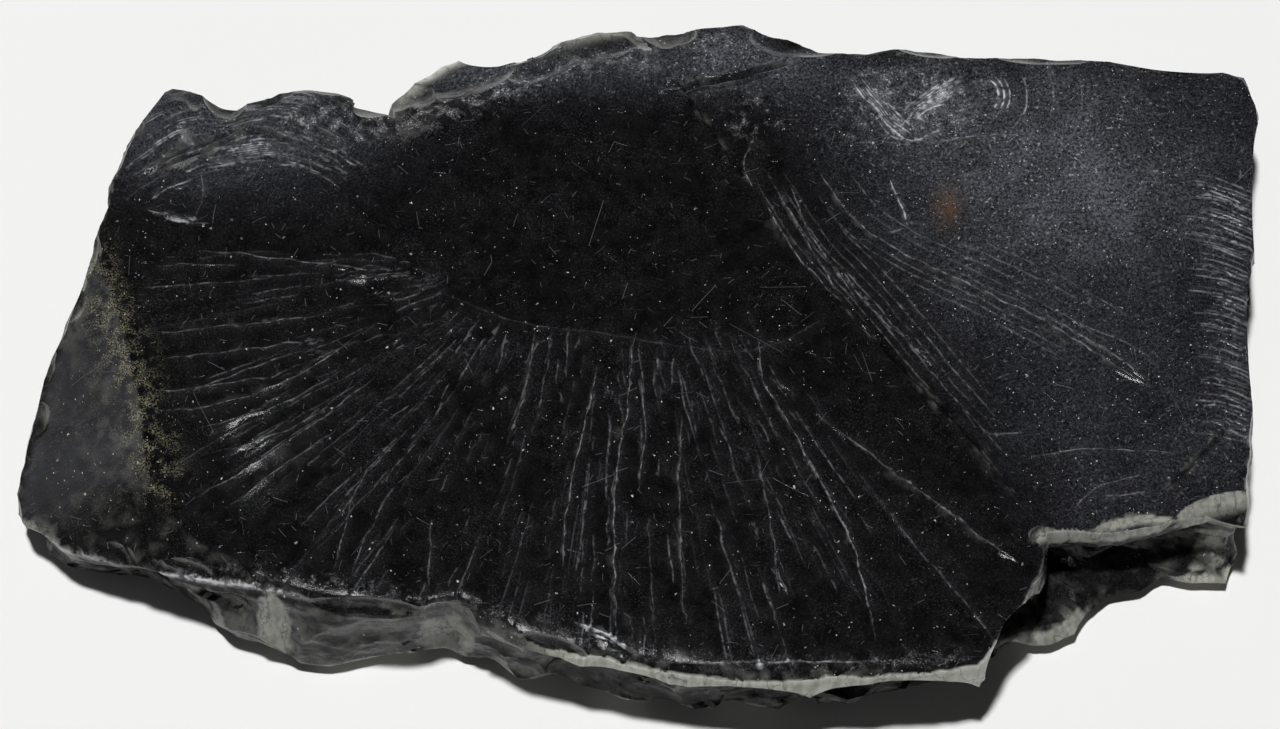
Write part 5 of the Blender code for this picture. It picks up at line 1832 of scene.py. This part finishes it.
def grain_tree():
    """Scatter small lumps where a mask is high."""
    tree = bpy.data.node_groups.new("scatter_grains", "GeometryNodeTree")
    sockets = tree.interface
    sockets.new_socket("Geometry", in_out="INPUT", socket_type="NodeSocketGeometry")
    for name, kind, value in GRAIN_INPUTS:
        sockets.new_socket(name, in_out="INPUT", socket_type=kind).default_value = value
    sockets.new_socket("Finish", in_out="INPUT", socket_type="NodeSocketMaterial")
    sockets.new_socket("Geometry", in_out="OUTPUT", socket_type="NodeSocketGeometry")
    given = put(tree, "NodeGroupInput").outputs
    mask = put(tree, "GeometryNodeInputNamedAttribute", {"data_type": "FLOAT"}, Name=given["Mask"])
    per_metre = put(tree, "ShaderNodeMath", {"operation": "MULTIPLY"}, i0=mask.outputs["Attribute"],
                    i1=1.0 / MM ** 2)
    density = put(tree, "ShaderNodeMath", {"operation": "MULTIPLY"}, i0=per_metre.outputs[0],
                  i1=given["Per square mm"])
    points = put(tree, "GeometryNodeDistributePointsOnFaces", Mesh=given["Geometry"],
                 Density=density.outputs[0], Seed=given["Seed"])
    lump = put(tree, "GeometryNodeMeshIcoSphere", Radius=1.0, Subdivisions=1)
    size = put(tree, "FunctionNodeRandomValue", {"data_type": "FLOAT"}, i2=given["Smallest"],
               i3=given["Largest"], Seed=given["Seed"])
    stretch = put(tree, "FunctionNodeRandomValue", {"data_type": "FLOAT_VECTOR"}, i0=(0.5, 0.5, 0.3),
                  i1=(1.5, 1.2, 0.8), Seed=given["Seed"])
    scale = put(tree, "ShaderNodeVectorMath", {"operation": "SCALE"}, Vector=stretch.outputs[0],
                Scale=size.outputs[1])
    grains = put(tree, "GeometryNodeInstanceOnPoints", Points=points.outputs["Points"],
                 Instance=lump.outputs["Mesh"], Rotation=points.outputs["Rotation"],
                 Scale=scale.outputs["Vector"])
    real = put(tree, "GeometryNodeRealizeInstances", Geometry=grains.outputs["Instances"])
    finish = put(tree, "GeometryNodeSetMaterial", Geometry=real.outputs["Geometry"],
                 Material=given["Finish"])
    put(tree, "NodeGroupOutput", Geometry=finish.outputs["Geometry"])
    return tree


grains = grain_tree()
print("grain tree of", len(grains.nodes), "nodes")

# %% [markdown]
# ## Scatter the grains
#
# The tree runs on an object that shares the stone's mesh, and the result is kept as a plain mesh
# before the modifier is removed. Dry mineral dust is matt and uneven in colour, so its material is
# two tones mixed by noise. Real dust is finer still, and is drawn just coarse enough to show.


# %% Crumbs and dust
def scatter(name, tree, finish, **values):
    """Scatter one kind of grain over the stone and keep it as a plain mesh."""
    host = bpy.data.objects.new(name, stone.data)
    bpy.context.scene.collection.objects.link(host)
    rule = host.modifiers.new(name, "NODES")
    rule.node_group = tree
    keys = {item.name: item.identifier for item in tree.interface.items_tree if item.in_out == "INPUT"}
    for label, value in values.items():
        rule[keys[label.replace("_", " ")]] = value
    rule[keys["Finish"]] = finish
    graph = bpy.context.evaluated_depsgraph_get()
    data = bpy.data.meshes.new_from_object(host.evaluated_get(graph))
    host.modifiers.clear()
    host.data = data
    data.name = name
    return host


def mineral_dust(name, light, dark):
    """Loose dry mineral grains."""
    material = bpy.data.materials.new(name)
    material.use_nodes = True
    tree = material.node_tree
    place = put(tree, "ShaderNodeTexCoord").outputs["Object"]
    cloud = put(tree, "ShaderNodeTexNoise", Vector=place, Scale=2.5 / MM, Detail=2.0)
    colour = put(tree, "ShaderNodeMix", {"data_type": "RGBA"}, i0=cloud.outputs["Fac"],
                 i6=tint(dark), i7=tint(light))
    surface = tree.nodes["Principled BSDF"]
    tree.links.new(colour.outputs[2], surface.inputs["Base Color"])
    surface.inputs["Roughness"].default_value = 0.75
    return material


crumbs = scatter("pale_crumbs", grains, mineral_dust("pale_rock_dust", "#d8d8d4", "#8d8d8a"),
                 Per_square_mm=0.6, Smallest=0.000015, Largest=0.000062, Seed=3, Mask="litter")
ochre_dust = scatter("ochre_dust", grains, mineral_dust("ochre_dust", "#a9a684", "#6c6950"),
                     Per_square_mm=4.0, Smallest=0.00002, Largest=0.00006, Seed=5, Mask="dust")
print("crumbs", len(crumbs.data.polygons), "dust", len(ochre_dust.data.polygons), "faces")

# %% [markdown]
# ## Hand over
#
# Every piece rides on the stone's one body, and the detailed stone stands in for the faceted
# solid.

# %% Ride, replace and finish
for piece in (stone, crumbs, ochre_dust):
    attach(piece, BODY)
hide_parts(NODE)
